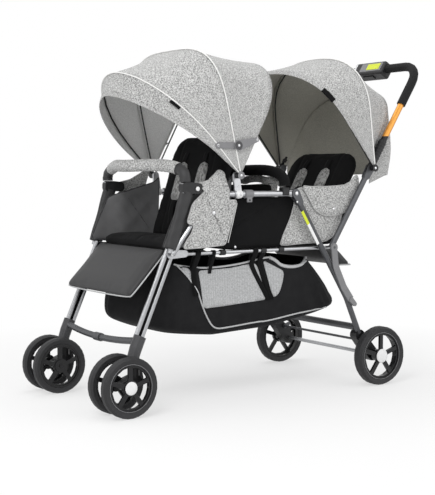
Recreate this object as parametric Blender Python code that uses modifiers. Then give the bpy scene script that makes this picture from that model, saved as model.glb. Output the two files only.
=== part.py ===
"""Tandem pushchair: two seats one behind the other on a folding tube frame.

Metres, +Z up, -Y forwards, +X to the pushchair's left. The side view is drawn about the middle of the
wheelbase on the floor, and the empty that carries every piece moves that point so that the origin is
at the middle of the whole pushchair's footprint.
"""
import math

import bmesh
import bpy
from mathutils import Matrix, Vector

# Running gap between pieces that touch, and between a pin and its hole
GAP = 0.0003

# Across the pushchair: the seats' half width, and how far outside it each layer stands
SEAT_HALF_WIDTH = 0.203
LEG_STAND_OFF = 0.0097
LOWER_RAIL_STAND_OFF = 0.011
CASTER_STAND_OFF = 0.015
FRAME_STAND_OFF = 0.026
TRACK_STAND_OFF = 0.060
FRAME_X = SEAT_HALF_WIDTH + FRAME_STAND_OFF

# Wheels
WHEELBASE = 0.910
FRONT_WHEEL_RADIUS = 0.085
FRONT_TYRE_WIDTH = 0.030
REAR_WHEEL_RADIUS = 0.093
REAR_TYRE_WIDTH = 0.038
TYRE_DEPTH = 0.017
TREAD_SHARE = 0.5
SHOULDER_DROP = 0.005
TYRE_SIDES = 32
RIM_SIDES = 24
RIM_WALL = 0.005
RIM_WIDTH_SHARE = 0.76
HUB_RADIUS = 0.019
WEB_THICKNESS = 0.008
SPOKE_COUNT = 5
SPOKE_WIDTH = 0.013
REAR_TRACK_HALF = SEAT_HALF_WIDTH + TRACK_STAND_OFF

# Casters
CASTER_X = SEAT_HALF_WIDTH + CASTER_STAND_OFF
CASTER_WHEEL_OFFSET = 0.038
CASTER_SWIVEL_Y = -0.420
FRONT_AXLE_RADIUS = 0.005
CASTER_NECK_RADIUS = 0.0165
SLEEVE_BOTTOM_Z = 0.135
SLEEVE_RADIUS = 0.018

# Side frame, drawn on the plane of each side
RAIL_RADIUS = 0.009
RAIL_Z = 0.613
RAIL_FRONT_Y = -0.163
FRAME_BEND = 0.045
FRONT_PIVOT = (-0.300, 0.445)
REAR_PIVOT = (0.138, 0.613)
BUMPER_SEAT = (-0.256, 0.640)
LUG_THICKNESS = 0.004
LOWER_RAIL_X = SEAT_HALF_WIDTH + LOWER_RAIL_STAND_OFF
LOWER_RAIL_RADIUS = 0.0055
LOWER_RAIL_Z = 0.443
LOWER_RAIL_FRONT_Y = -0.272

# Legs
FRONT_LEG_X = SEAT_HALF_WIDTH + LEG_STAND_OFF
FRONT_LEG_WIDTH = 0.033
FRONT_LEG_THICKNESS = 0.013
FRONT_LEG_FOOT = (-0.3985, 0.2190)
REAR_LEG_RADIUS = 0.009
REAR_LEG_KNEE = (0.345, 0.283)
REAR_LEG_FOOT = (0.398, 0.165)
REAR_LEG_BEND = 0.12
CLEVIS_RADIUS = 0.014
CLEVIS_SLOT = 0.008
CROSS_TUBE_RADIUS = 0.011
CROSS_TUBE_AT = (0.3925, 0.184)
REAR_AXLE_RADIUS = 0.006
AXLE_BRACKET_THICKNESS = 0.030
BRAKE_ROD_RADIUS = 0.004
BRAKE_AT = (0.432, 0.136)
FRONT_BAR_RADIUS = 0.010
FRONT_BAR_END = (-0.408, 0.205)
FRONT_BAR_SAG = 0.012

# Handle
HANDLE_FOOT = (0.282, 0.444)
HANDLE_SLOPE = math.radians(57.4)
HANDLE_JOINT_Z = 0.690
HANDLE_TOP_Z = 1.025
HANDLE_RADIUS = 0.010
HANDLE_CORNER = 0.070
GRIP_RADIUS = 0.0145
GRIP_LEG = 0.1557
HOOD_TO_GRIP = 0.1057
CONSOLE_SIZE = (0.150, 0.050, 0.042)
TRIGGER_SIZE = (0.0500, 0.0075, 0.0154)
TRIGGER_TRAVEL = 0.005
LOCK_PLATE_THICKNESS = 0.004
LOCK_PLATE_WIDTH = 0.022
LOCK_PLATE_CLEARANCE = 0.0035

HANDLE_DIR = Vector((0, math.cos(HANDLE_SLOPE), math.sin(HANDLE_SLOPE)))
HANDLE_PIVOT = (
    HANDLE_FOOT[0] + (HANDLE_JOINT_Z - HANDLE_FOOT[1]) / math.tan(HANDLE_SLOPE),
    HANDLE_JOINT_Z,
)
HANDLE_REACH = (HANDLE_TOP_Z - HANDLE_JOINT_Z) / math.sin(HANDLE_SLOPE)
GRIP_START = HANDLE_REACH - GRIP_LEG

# Bumper bars
BUMPER_RADIUS = 0.017
BUMPER_RISE = 0.056
FRONT_BUMPER_REACH = 0.058
REAR_BUMPER_REACH = 0.014
REAR_BUMPER_Y = 0.098
REAR_BUMPER_SEAT_RISE = 0.013
BUTTON_RADIUS = 0.006
BUTTON_TRAVEL = 0.0025

# Hoods: each bow is a flat loop through its pivots
FRONT_HOOD_PIVOT = (-0.079, 0.668)
HOOD_PIN_RADIUS = 0.004
HOOD_DISC_RADIUS = 0.009
HOOD_DISC_THICKNESS = 0.005
HOOD_DISC_STEP = 0.0054
BOW_RADIUS = 0.0023
BOW_LEG_START = 0.0065
HOOD_LAYER = FRAME_X + 0.0069
HOOD_FABRIC_X = FRAME_X + 0.0210
HOOD_FABRIC_THICKNESS = 0.002
HOOD_FABRIC_OFFSET = 0.0057
HOOD_FABRIC_START = 0.034
STAY_RADIUS = 0.1175
STAY_WIDTH = 0.018
STAY_KNEE_RADIUS = 0.0150
STAY_THICKNESS = 0.003
# Each bow: angle from the rear, length of the straight legs, height, squareness
FRONT_BOWS = {
    "rear": (62.0, 0.190, 0.392, 2.0),
    "middle": (103.0, 0.162, 0.376, 3.4),
    "front": (133.0, 0.130, 0.402, 1.9),
    "rim": (141.0, 0.110, 0.380, 1.65),
}
REAR_HOOD_HEIGHT = HANDLE_REACH - HOOD_TO_GRIP
REAR_BOWS = {
    "rear": (61.5, 0.155, REAR_HOOD_HEIGHT, 2.2),
    "middle": (97.0, 0.170, REAR_HOOD_HEIGHT + 0.060, 2.5),
    "front": (128.0, 0.190, REAR_HOOD_HEIGHT + 0.092, 2.5),
}
REAR_FLAP_HALF = FRAME_X - 0.024
REAR_FLAP_FOOT = (0.548, 0.668)
REAR_FLAP_WRAP = 0.078

# Seats
SEAT_WALL = 0.004
SEAT_BASE_Z = 0.4500
SEAT_FRONT_Y = -0.296
FRONT_SEAT_BACK_Y = -0.140
FOOTWELL_BACK_Y = 0.085
REAR_SEAT_BACK_Y = 0.292
WALL_TOP_Z = 0.598
CUSHION_THICKNESS = 0.032
CUSHION_CROWN = 0.006
BACKREST_THICKNESS = 0.030
BACKREST_HALF_WIDTH = SEAT_HALF_WIDTH - 0.031
FRONT_BACKREST_ANGLE = 17.7
FRONT_BACKREST_LENGTH = 0.350
REAR_BACKREST_ANGLE = 29.5
REAR_BACKREST_LENGTH = 0.330
FOOTREST_LENGTH = 0.178
FOOTREST_THICKNESS = 0.020
FOOTREST_HALF_WIDTH = SEAT_HALF_WIDTH - 0.005
FOOTREST_ANGLE = 47.0
SIDE_PANEL_X = FRAME_X + 0.0110
BASKET_TOP_HALF = 0.192
BASKET_BOTTOM_HALF = BASKET_TOP_HALF - 0.020
BASKET_WALL = 0.003
BASKET_RIM_Z = 0.420

AXLE_Y = WHEELBASE / 2
FRONT_END_Y = -AXLE_Y - FRONT_WHEEL_RADIUS
REAR_END_Y = HANDLE_PIVOT[0] + HANDLE_REACH * math.cos(HANDLE_SLOPE) + GRIP_RADIUS
ORIGIN_SHIFT = -(FRONT_END_Y + REAR_END_Y) / 2
SIDES = (("left", 1), ("right", -1))

for old in list(bpy.data.objects):
    bpy.data.objects.remove(old, do_unlink=True)
PARTS = bpy.data.collections.new("tandem_pushchair")
CUTTERS = bpy.data.collections.new("cutters")
bpy.context.scene.collection.children.link(PARTS)
bpy.context.scene.collection.children.link(CUTTERS)
ROOT = bpy.data.objects.new("pushchair", None)
ROOT.location = (0, ORIGIN_SHIFT, 0)
PARTS.objects.link(ROOT)


def material(name, color, roughness, metallic=0.0):
    """A Principled finish."""
    made = bpy.data.materials.new(name)
    made.use_nodes = True
    shader = made.node_tree.nodes["Principled BSDF"]
    shader.inputs["Base Color"].default_value = (*color, 1)
    shader.inputs["Roughness"].default_value = roughness
    shader.inputs["Metallic"].default_value = metallic
    return made


RAIL_METAL = material("satin_aluminium", (0.55, 0.56, 0.57), 0.35, 1.0)
FRAME_PAINT = material("grey_powder_coat", (0.13, 0.13, 0.14), 0.45, 0.3)
BLACK_PLASTIC = material("black_plastic", (0.02, 0.02, 0.022), 0.45)
GREY_PLASTIC = material("grey_plastic", (0.18, 0.18, 0.19), 0.5)
WHITE_PLASTIC = material("white_plastic", (0.80, 0.80, 0.80), 0.4)
TYRE_FOAM = material("black_tyre", (0.025, 0.025, 0.027), 0.7)
GRIP_FOAM = material("black_foam", (0.02, 0.02, 0.02), 0.85)
GREY_FABRIC = material("grey_melange_fabric", (0.42, 0.42, 0.42), 0.9)
BLACK_FABRIC = material("black_fabric", (0.016, 0.016, 0.017), 0.9)
LEATHERETTE = material("dark_leatherette", (0.06, 0.06, 0.062), 0.5)


def add_piece(name, data, finish, origin=(0, 0, 0)):
    """Put a mesh or curve drawn in the side-view frame into the part, with its origin on its joint."""
    data.transform(Matrix.Translation(-Vector(origin)))
    piece = bpy.data.objects.new(name, data)
    piece.location = origin
    piece.parent = ROOT
    data.materials.append(finish)
    PARTS.objects.link(piece)
    return piece


def combine(piece, data, operation):
    """Join or cut a piece with a tool drawn in the side-view frame, by a live Boolean."""
    tool = bpy.data.objects.new(f"{piece.name}_{operation.lower()}", data)
    tool.parent = ROOT
    tool.hide_render = True
    tool.display_type = "WIRE"
    CUTTERS.objects.link(tool)
    boolean = piece.modifiers.new(operation.title(), "BOOLEAN")
    boolean.operation = operation
    boolean.object = tool
    return tool


def mesh_of_curve(curve, matrix=Matrix.Identity(4)):
    """The closed mesh of a curve, with its caps welded."""
    holder = bpy.data.objects.new(curve.name, curve)
    bpy.context.scene.collection.objects.link(holder)
    bpy.context.view_layer.update()
    evaluated = holder.evaluated_get(bpy.context.evaluated_depsgraph_get())
    mesh = bpy.data.meshes.new_from_object(evaluated)
    bpy.data.objects.remove(holder, do_unlink=True)
    shape = bmesh.new()
    shape.from_mesh(mesh)
    bmesh.ops.remove_doubles(shape, verts=shape.verts, dist=0.00001)
    shape.transform(matrix)
    shape.to_mesh(mesh)
    shape.free()
    return mesh


def tube_curve(name, points, radius, resolution=4, radii=None):
    """A round tube along points, as a curve with a bevel and filled caps."""
    curve = bpy.data.curves.new(name, "CURVE")
    curve.dimensions = "3D"
    curve.bevel_depth = radius
    curve.bevel_resolution = resolution
    curve.use_fill_caps = True
    spline = curve.splines.new("POLY")
    spline.points.add(len(points) - 1)
    for index, (point, place) in enumerate(zip(spline.points, points)):
        point.co = (*place, 1)
        point.radius = radii[index] if radii else 1.0
    return curve


def tube_mesh(name, points, radius, resolution=4, radii=None):
    """The same tube as a mesh, for a Boolean."""
    return mesh_of_curve(tube_curve(name, points, radius, resolution, radii))


def rounded(points, radius, steps=5):
    """A polyline whose inner corners are arcs."""
    places = [Vector(point) for point in points]
    path = [places[0]]
    for before, corner, after in zip(places, places[1:], places[2:]):
        inward, outward = (before - corner).normalized(), (after - corner).normalized()
        half = inward.angle(outward) / 2
        reach = radius / math.tan(half)
        centre = corner + (inward + outward).normalized() * (radius / math.sin(half))
        start, end = corner + inward * reach, corner + outward * reach
        for step in range(steps + 1):
            arm = (start - centre).normalized().slerp((end - centre).normalized(), step / steps)
            path.append(centre + arm * radius)
    path.append(places[-1])
    return path


def at_side(x, points):
    """Side-view (Y, Z) points on the plane X = x."""
    return [(x, y, z) for y, z in points]


SIDE_VIEW = Matrix(((0, 0, 1, 0), (1, 0, 0, 0), (0, 1, 0, 0), (0, 0, 0, 1)))


def outline_mesh(name, outlines, low_x, high_x):
    """Flat (Y, Z) outlines, the first one solid and the others holes, from low_x to high_x."""
    curve = bpy.data.curves.new(name, "CURVE")
    curve.dimensions = "2D"
    curve.fill_mode = "BOTH"
    curve.extrude = (high_x - low_x) / 2
    for outline in outlines:
        spline = curve.splines.new("POLY")
        spline.points.add(len(outline) - 1)
        spline.use_cyclic_u = True
        for point, (y, z) in zip(spline.points, outline):
            point.co = (y, z, 0, 1)
    middle = Matrix.Translation(((low_x + high_x) / 2, 0, 0))
    return mesh_of_curve(curve, middle @ SIDE_VIEW)


def side_outline(name, side, outlines, low_x, high_x):
    """outline_mesh for the left side, or its mirror place on the right."""
    low, high = sorted((side * low_x, side * high_x))
    return outline_mesh(name, outlines, low, high)


def circle(centre, radius, count=16, turn=0.0):
    """Points round a (Y, Z) centre."""
    return [
        (
            centre[0] + radius * math.cos(2 * math.pi * (step + turn) / count),
            centre[1] + radius * math.sin(2 * math.pi * (step + turn) / count),
        )
        for step in range(count)
    ]


def strap(start, end, start_radius, end_radius, steps=6):
    """Outline round two circles, such as a link or a bracket."""
    run = Vector(end) - Vector(start)
    heading = math.atan2(run.y, run.x)
    lean = math.asin((start_radius - end_radius) / run.length)
    outline = []
    for centre, radius, first, last in (
        (end, end_radius, -math.pi / 2 + lean, math.pi / 2 - lean),
        (start, start_radius, math.pi / 2 - lean, 3 * math.pi / 2 + lean),
    ):
        for step in range(steps + 1):
            angle = heading + first + (last - first) * step / steps
            outline.append((centre[0] + radius * math.cos(angle), centre[1] + radius * math.sin(angle)))
    return outline


def box_mesh(name, low, high, bevel=0.0, matrix=Matrix.Identity(4)):
    """A box between two corners, with chamfered edges where asked."""
    shape = bmesh.new()
    bmesh.ops.create_cube(shape, size=1)
    size = Vector(high) - Vector(low)
    bmesh.ops.scale(shape, vec=size, verts=shape.verts)
    bmesh.ops.translate(shape, vec=(Vector(low) + Vector(high)) / 2, verts=shape.verts)
    if bevel:
        bmesh.ops.bevel(
            shape, geom=shape.edges[:], offset=bevel, segments=2, profile=0.5, affect="EDGES", material=-1
        )
    shape.transform(matrix)
    mesh = bpy.data.meshes.new(name)
    shape.to_mesh(mesh)
    shape.free()
    return mesh


def pin_mesh(name, side, centre, radius, low_x, high_x, count=16):
    """A pin or bore along X at a (Y, Z) centre."""
    return side_outline(name, side, [circle(centre, radius, count, 0.5)], low_x, high_x)


def handle_point(along, x=0.0):
    """A point up the handle's slope from its joint."""
    return (x, HANDLE_PIVOT[0] + along * HANDLE_DIR.y, HANDLE_PIVOT[1] + along * HANDLE_DIR.z)


def turned_piece(name, profile, sides, finish, centre):
    """A ring turned about X, with a flat of its outside lowest. The profile is (radius, offset) points."""
    stretch = 1 / math.cos(math.pi / sides)
    mesh = bpy.data.meshes.new(name)
    shape = bmesh.new()
    corners = [
        shape.verts.new((radius * stretch, 0, offset)) for radius, offset in profile
    ]
    for start, end in zip(corners, corners[1:] + corners[:1]):
        shape.edges.new((start, end))
    bmesh.ops.rotate(
        shape, verts=shape.verts, cent=(0, 0, 0), matrix=Matrix.Rotation(math.pi / sides, 3, "Z")
    )
    shape.to_mesh(mesh)
    shape.free()
    piece = bpy.data.objects.new(name, mesh)
    piece.location = centre
    piece.rotation_euler = (0, math.pi / 2, 0)
    piece.parent = ROOT
    mesh.materials.append(finish)
    PARTS.objects.link(piece)
    screw = piece.modifiers.new("Turn", "SCREW")
    screw.axis = "Z"
    screw.steps = sides
    screw.render_steps = sides
    screw.use_merge_vertices = True
    screw.merge_threshold = 0.0001
    screw.use_normal_calculate = True
    return piece


def tyre(name, centre, radius, width):
    """A foam tyre: flat tread, round shoulders and a seat on the rim."""
    half = width / 2
    seat = radius - TYRE_DEPTH
    profile = [
        (seat, half * RIM_WIDTH_SHARE),
        (radius - SHOULDER_DROP, half),
        (radius, half * TREAD_SHARE),
        (radius, -half * TREAD_SHARE),
        (radius - SHOULDER_DROP, -half),
        (seat, -half * RIM_WIDTH_SHARE),
    ]
    return turned_piece(name, profile, TYRE_SIDES, TYRE_FOAM, centre)


def rim(name, centre, radius, width, bore, outward):
    """A moulded rim: hub, spoked web near its outer face and barrel."""
    outer = (radius - TYRE_DEPTH - GAP) * math.cos(math.pi / RIM_SIDES)
    inner = outer - RIM_WALL
    half = width / 2 * RIM_WIDTH_SHARE
    web_outer = outward * (half - 0.003)
    web_inner = web_outer - outward * WEB_THICKNESS
    web_high, web_low = max(web_outer, web_inner), min(web_outer, web_inner)
    profile = [
        (bore, half),
        (HUB_RADIUS, half),
        (HUB_RADIUS, web_high),
        (inner, web_high),
        (inner, half),
        (outer, half),
        (outer, -half),
        (inner, -half),
        (inner, web_low),
        (HUB_RADIUS, web_low),
        (HUB_RADIUS, -half),
        (bore, -half),
    ]
    piece = turned_piece(name, profile, RIM_SIDES, BLACK_PLASTIC, centre)
    low, high = HUB_RADIUS + 0.004, inner - 0.004
    windows = bpy.data.meshes.new(f"{name}_windows")
    joined = bmesh.new()
    for number in range(SPOKE_COUNT):
        middle = 2 * math.pi * (number + 0.5) / SPOKE_COUNT + math.pi / 2
        outline = []
        for reach, order in ((low, (-1, 0, 1)), (high, (1, 0.4, -0.4, -1))):
            spread = math.pi / SPOKE_COUNT - math.asin(SPOKE_WIDTH / 2 / reach)
            for share in order:
                angle = middle + share * spread
                outline.append(
                    (centre[1] + reach * math.cos(angle), centre[2] + reach * math.sin(angle))
                )
        window = outline_mesh(f"{name}_window", [outline], centre[0] - width, centre[0] + width)
        joined.from_mesh(window)
    joined.to_mesh(windows)
    joined.free()
    combine(piece, windows, "DIFFERENCE")
    return piece


def wheels():
    """Six wheels, each a tyre on a rim: two pairs on the casters and one at each side behind."""
    for side_name, side in SIDES:
        for place, offset in (("outer", 1), ("inner", -1)):
            centre = (
                side * (CASTER_X + offset * CASTER_WHEEL_OFFSET), -AXLE_Y, FRONT_WHEEL_RADIUS
            )
            label = f"front_{side_name}_{place}"
            tyre(f"{label}_tyre", centre, FRONT_WHEEL_RADIUS, FRONT_TYRE_WIDTH)
            rim(
                f"{label}_rim", centre, FRONT_WHEEL_RADIUS, FRONT_TYRE_WIDTH,
                FRONT_AXLE_RADIUS + GAP, side * offset,
            )
        centre = (side * REAR_TRACK_HALF, AXLE_Y, REAR_WHEEL_RADIUS)
        tyre(f"rear_{side_name}_tyre", centre, REAR_WHEEL_RADIUS, REAR_TYRE_WIDTH)
        rim(
            f"rear_{side_name}_rim", centre, REAR_WHEEL_RADIUS, REAR_TYRE_WIDTH,
            REAR_AXLE_RADIUS + GAP, side,
        )


def caster_fork(side_name, side):
    """The swivelling block between a pair of front wheels, with the axle that they turn on."""
    x = side * CASTER_X
    axle_z = FRONT_WHEEL_RADIUS
    top = SLEEVE_BOTTOM_Z - GAP
    neck = tube_mesh(
        "neck", [(x, CASTER_SWIVEL_Y, top), (x, CASTER_SWIVEL_Y, axle_z - 0.004)], CASTER_NECK_RADIUS, 4
    )
    piece = add_piece(f"caster_fork_{side_name}", neck, BLACK_PLASTIC, (x, CASTER_SWIVEL_Y, axle_z))
    half = CASTER_NECK_RADIUS - 0.002
    arm = strap((CASTER_SWIVEL_Y, axle_z + 0.010), (-AXLE_Y, axle_z), 0.020, 0.012)
    combine(piece, side_outline("arm", side, [arm], CASTER_X - half, CASTER_X + half), "UNION")
    reach = CASTER_WHEEL_OFFSET + FRONT_TYRE_WIDTH / 2 * RIM_WIDTH_SHARE + 0.003
    axle = pin_mesh(
        "axle", side, (-AXLE_Y, axle_z), FRONT_AXLE_RADIUS, CASTER_X - reach, CASTER_X + reach, 12
    )
    combine(piece, axle, "UNION")


def front_leg(side_name, side):
    """A twin-tube leg: two round edges with a web between, from the pivot to the caster sleeve."""
    top, foot = Vector(FRONT_PIVOT), Vector(FRONT_LEG_FOOT)
    along = (foot - top).normalized()
    across = Vector((along.y, -along.x))
    lobe = FRONT_LEG_THICKNESS / 2
    spread = FRONT_LEG_WIDTH / 2 - lobe
    start = top - along * 0.012
    centre = FRONT_LEG_X * side
    pivot = (centre, *FRONT_PIVOT)
    tubes = []
    for share in (-1, 1):
        edge = across * spread * share
        tubes.append(
            tube_mesh(
                "leg_tube",
                at_side(centre, [tuple(start + edge), tuple(foot + edge - along * GAP)]),
                lobe,
                3,
            )
        )
    web_half = 0.003
    web = [
        tuple(place + across * spread * share)
        for place, share in ((start, -1), (foot - along * 2 * GAP, -1), (foot - along * 2 * GAP, 1), (start, 1))
    ]
    piece = add_piece(f"front_leg_{side_name}", tubes[0], RAIL_METAL, pivot)
    combine(
        piece,
        side_outline("web", side, [web], FRONT_LEG_X - web_half, FRONT_LEG_X + web_half),
        "UNION",
    )
    combine(piece, tubes[1], "UNION")


def sleeve_tube(name, x, extra=0.0):
    """The sleeve's shape, or the same a little thicker as a cutter."""
    foot = Vector(FRONT_LEG_FOOT)
    along = (foot - Vector(FRONT_PIVOT)).normalized()
    neck = foot + along * 0.035
    points = at_side(
        x, [tuple(foot), tuple(neck), (CASTER_SWIVEL_Y, SLEEVE_BOTTOM_Z + 0.030), (CASTER_SWIVEL_Y, SLEEVE_BOTTOM_Z)]
    )
    return tube_curve(name, points, SLEEVE_RADIUS + extra, 4, (1.0, 1.0, 0.96, 0.94))


def front_sleeve(side_name, side):
    """The plastic sleeve at the foot of a front leg, which carries the caster and the cross bar."""
    x = side * CASTER_X
    name = f"front_sleeve_{side_name}"
    add_piece(name, sleeve_tube(name, x), GREY_PLASTIC, (x, *FRONT_LEG_FOOT))


def front_cross_bar():
    """The bowed bar between the two sleeves, with a collar at its middle."""
    end_x = CASTER_X - SLEEVE_RADIUS * 0.9
    steps = 6
    points = []
    for step in range(-steps, steps + 1):
        share = step / steps
        drop = FRONT_BAR_SAG * (1 - share * share)
        points.append((end_x * share, FRONT_BAR_END[0] - drop * 0.5, FRONT_BAR_END[1] - drop))
    bar = tube_mesh("front_cross_bar", points, FRONT_BAR_RADIUS, 2)
    piece = add_piece("front_cross_bar", bar, FRAME_PAINT, (0, *FRONT_PIVOT))
    middle = (FRONT_BAR_END[0] - FRONT_BAR_SAG * 0.5, FRONT_BAR_END[1] - FRONT_BAR_SAG)
    collar = outline_mesh("collar", [circle(middle, FRONT_BAR_RADIUS + 0.0025, 12, 0.5)], -0.018, 0.018)
    combine(piece, collar, "UNION")
    for _, side in SIDES:
        combine(piece, mesh_of_curve(sleeve_tube("sleeve_cut", side * CASTER_X, GAP)), "DIFFERENCE")


def side_frame(side_name, side):
    """The bent side tube: front upright, upper rail and its rear tongue, with the fittings fixed to it."""
    x = side * FRAME_X
    front = FRONT_PIVOT
    tongue_start = REAR_PIVOT[0] - CLEVIS_RADIUS - 0.004
    path = rounded(
        at_side(x, [front, (RAIL_FRONT_Y, RAIL_Z), (tongue_start, RAIL_Z)]), FRAME_BEND
    )
    piece = add_piece(f"side_frame_{side_name}", tube_mesh("rail", path, RAIL_RADIUS), RAIL_METAL)
    socket_low = BUMPER_SEAT[1] - 0.022
    socket = [
        (BUMPER_SEAT[0] - 0.012, socket_low),
        (BUMPER_SEAT[0] + 0.052, socket_low),
        (BUMPER_SEAT[0] + 0.052, socket_low + 0.024),
        (BUMPER_SEAT[0] + 0.012, BUMPER_SEAT[1] + 0.006),
        (BUMPER_SEAT[0] - 0.012, BUMPER_SEAT[1] + 0.006),
    ]
    combine(
        piece, side_outline("socket", side, [socket], FRAME_X - 0.0075, FRAME_X + 0.0095), "UNION"
    )
    button_at = (BUMPER_SEAT[0] + 0.036, socket_low + 0.012)
    pocket = pin_mesh(
        "pocket", side, button_at, BUTTON_RADIUS + GAP, FRAME_X + 0.0045, FRAME_X + 0.020, 16
    )
    combine(piece, pocket, "DIFFERENCE")
    seat_low = (REAR_BUMPER_Y - 0.011, RAIL_Z - 0.004)
    seat_high = (REAR_BUMPER_Y + 0.011, RAIL_Z + REAR_BUMPER_SEAT_RISE)
    seat = [seat_low, (seat_high[0], seat_low[1]), seat_high, (seat_low[0], seat_high[1])]
    combine(piece, side_outline("seat", side, [seat], FRAME_X - 0.0098, FRAME_X + 0.0098), "UNION")
    upright = at_side(x, [(front[0] - 0.006, front[1] + 0.004), BUMPER_SEAT])
    combine(piece, tube_mesh("upright", upright, RAIL_RADIUS * 0.9), "UNION")
    lug_inner = FRAME_X - RAIL_RADIUS - GAP
    lug = strap(front, (LOWER_RAIL_FRONT_Y + 0.020, LOWER_RAIL_Z + 0.002), 0.013, 0.010)
    combine(piece, side_outline("lug", side, [lug], lug_inner, lug_inner + LUG_THICKNESS), "UNION")
    tongue = strap((tongue_start - 0.010, RAIL_Z), REAR_PIVOT, 0.008, CLEVIS_RADIUS - 0.003)
    half = CLEVIS_SLOT / 2 - GAP
    combine(piece, side_outline("tongue", side, [tongue], FRAME_X - half, FRAME_X + half), "UNION")
    ear = strap((FRONT_HOOD_PIVOT[0] + 0.006, RAIL_Z), FRONT_HOOD_PIVOT, 0.013, 0.010)
    combine(piece, side_outline("ear", side, [ear], FRAME_X - 0.004, FRAME_X + 0.004), "UNION")
    clamp = circle((FRONT_HOOD_PIVOT[0] + 0.006, RAIL_Z), RAIL_RADIUS + 0.003, 12, 0.5)
    combine(
        piece, tube_mesh("clamp", at_side(x, [(clamp[0][0] - 0.026, RAIL_Z), (clamp[0][0], RAIL_Z)]), 0.0115, 3),
        "UNION",
    )
    hood_pin = pin_mesh(
        "hood_pin", side, FRONT_HOOD_PIVOT, HOOD_PIN_RADIUS, FRAME_X, HOOD_LAYER + 2.5 * HOOD_DISC_STEP, 12
    )
    combine(piece, hood_pin, "UNION")
    button = pin_mesh(
        "button", side, button_at, BUTTON_RADIUS, FRAME_X + 0.0045 + BUTTON_TRAVEL + GAP, FRAME_X + 0.0125, 16
    )
    add_piece(f"bumper_button_{side_name}", button, WHITE_PLASTIC, (x, *button_at))


def lower_rail(side_name, side):
    """The thin lower rail from the front lug to the foot of the handle."""
    x = side * LOWER_RAIL_X
    ends = [(LOWER_RAIL_FRONT_Y, LOWER_RAIL_Z), (HANDLE_FOOT[0] + 0.004, LOWER_RAIL_Z)]
    rail = tube_curve(f"lower_rail_{side_name}", at_side(x, ends), LOWER_RAIL_RADIUS, 3)
    add_piece(f"lower_rail_{side_name}", rail, RAIL_METAL, (x, *ends[0]))


def rear_leg_path(x, extra=0.0):
    """The centre line of a rear leg below its clevis, lengthened at the foot where asked."""
    pivot, knee, foot = Vector(REAR_PIVOT), Vector(REAR_LEG_KNEE), Vector(REAR_LEG_FOOT)
    down = (knee - pivot).normalized()
    start = pivot + down * (CLEVIS_RADIUS + 0.006)
    end = foot + (foot - knee).normalized() * extra
    return rounded(at_side(x, [tuple(start), tuple(knee), tuple(end)]), REAR_LEG_BEND, 6)


def rear_leg(side_name, side):
    """A bent rear leg with a clevis that turns on the upper rail's tongue."""
    x = side * FRAME_X
    leg = tube_mesh("leg", rear_leg_path(x), REAR_LEG_RADIUS)
    piece = add_piece(f"rear_leg_{side_name}", leg, FRAME_PAINT, (x, *REAR_PIVOT))
    down = (Vector(REAR_LEG_KNEE) - Vector(REAR_PIVOT)).normalized()
    root = Vector(REAR_PIVOT) + down * 0.034
    cheeks = strap(REAR_PIVOT, tuple(root), CLEVIS_RADIUS, 0.010)
    half = RAIL_RADIUS - 0.0005
    combine(piece, side_outline("cheeks", side, [cheeks], FRAME_X - half, FRAME_X + half), "UNION")
    slot_end = Vector(REAR_PIVOT) + down * 0.006
    slot = strap(tuple(Vector(REAR_PIVOT) - down * 0.02), tuple(slot_end), 0.022, 0.0135)
    slot_half = CLEVIS_SLOT / 2
    combine(
        piece, side_outline("slot", side, [slot], FRAME_X - slot_half, FRAME_X + slot_half), "DIFFERENCE"
    )


def axle_bracket(side_name, side):
    """The moulded bracket at the foot of a rear leg, which holds the axle and the brake rod."""
    outer = FRAME_X + 0.007
    inner = outer - AXLE_BRACKET_THICKNESS
    axle = (AXLE_Y, REAR_WHEEL_RADIUS)
    body = strap((REAR_LEG_FOOT[0] + 0.001, REAR_LEG_FOOT[1] - 0.006), axle, 0.018, 0.021)
    mesh = side_outline("bracket", side, [body], inner, outer)
    piece = add_piece(f"axle_bracket_{side_name}", mesh, BLACK_PLASTIC, (side * FRAME_X, *axle))
    socket = tube_mesh(
        "socket", rear_leg_path(side * FRAME_X, GAP), REAR_LEG_RADIUS + GAP
    )
    combine(piece, socket, "DIFFERENCE")
    combine(
        piece, pin_mesh("axle_bore", side, axle, REAR_AXLE_RADIUS + GAP, inner - 0.01, outer + 0.01, 16),
        "DIFFERENCE",
    )
    notch = pin_mesh("notch", side, CROSS_TUBE_AT, CROSS_TUBE_RADIUS + GAP, inner - 0.01, outer + 0.01, 16)
    combine(piece, notch, "DIFFERENCE")
    combine(
        piece, pin_mesh("brake_bore", side, BRAKE_AT, BRAKE_ROD_RADIUS + GAP, inner - 0.01, inner + 0.012, 12),
        "DIFFERENCE",
    )


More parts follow.
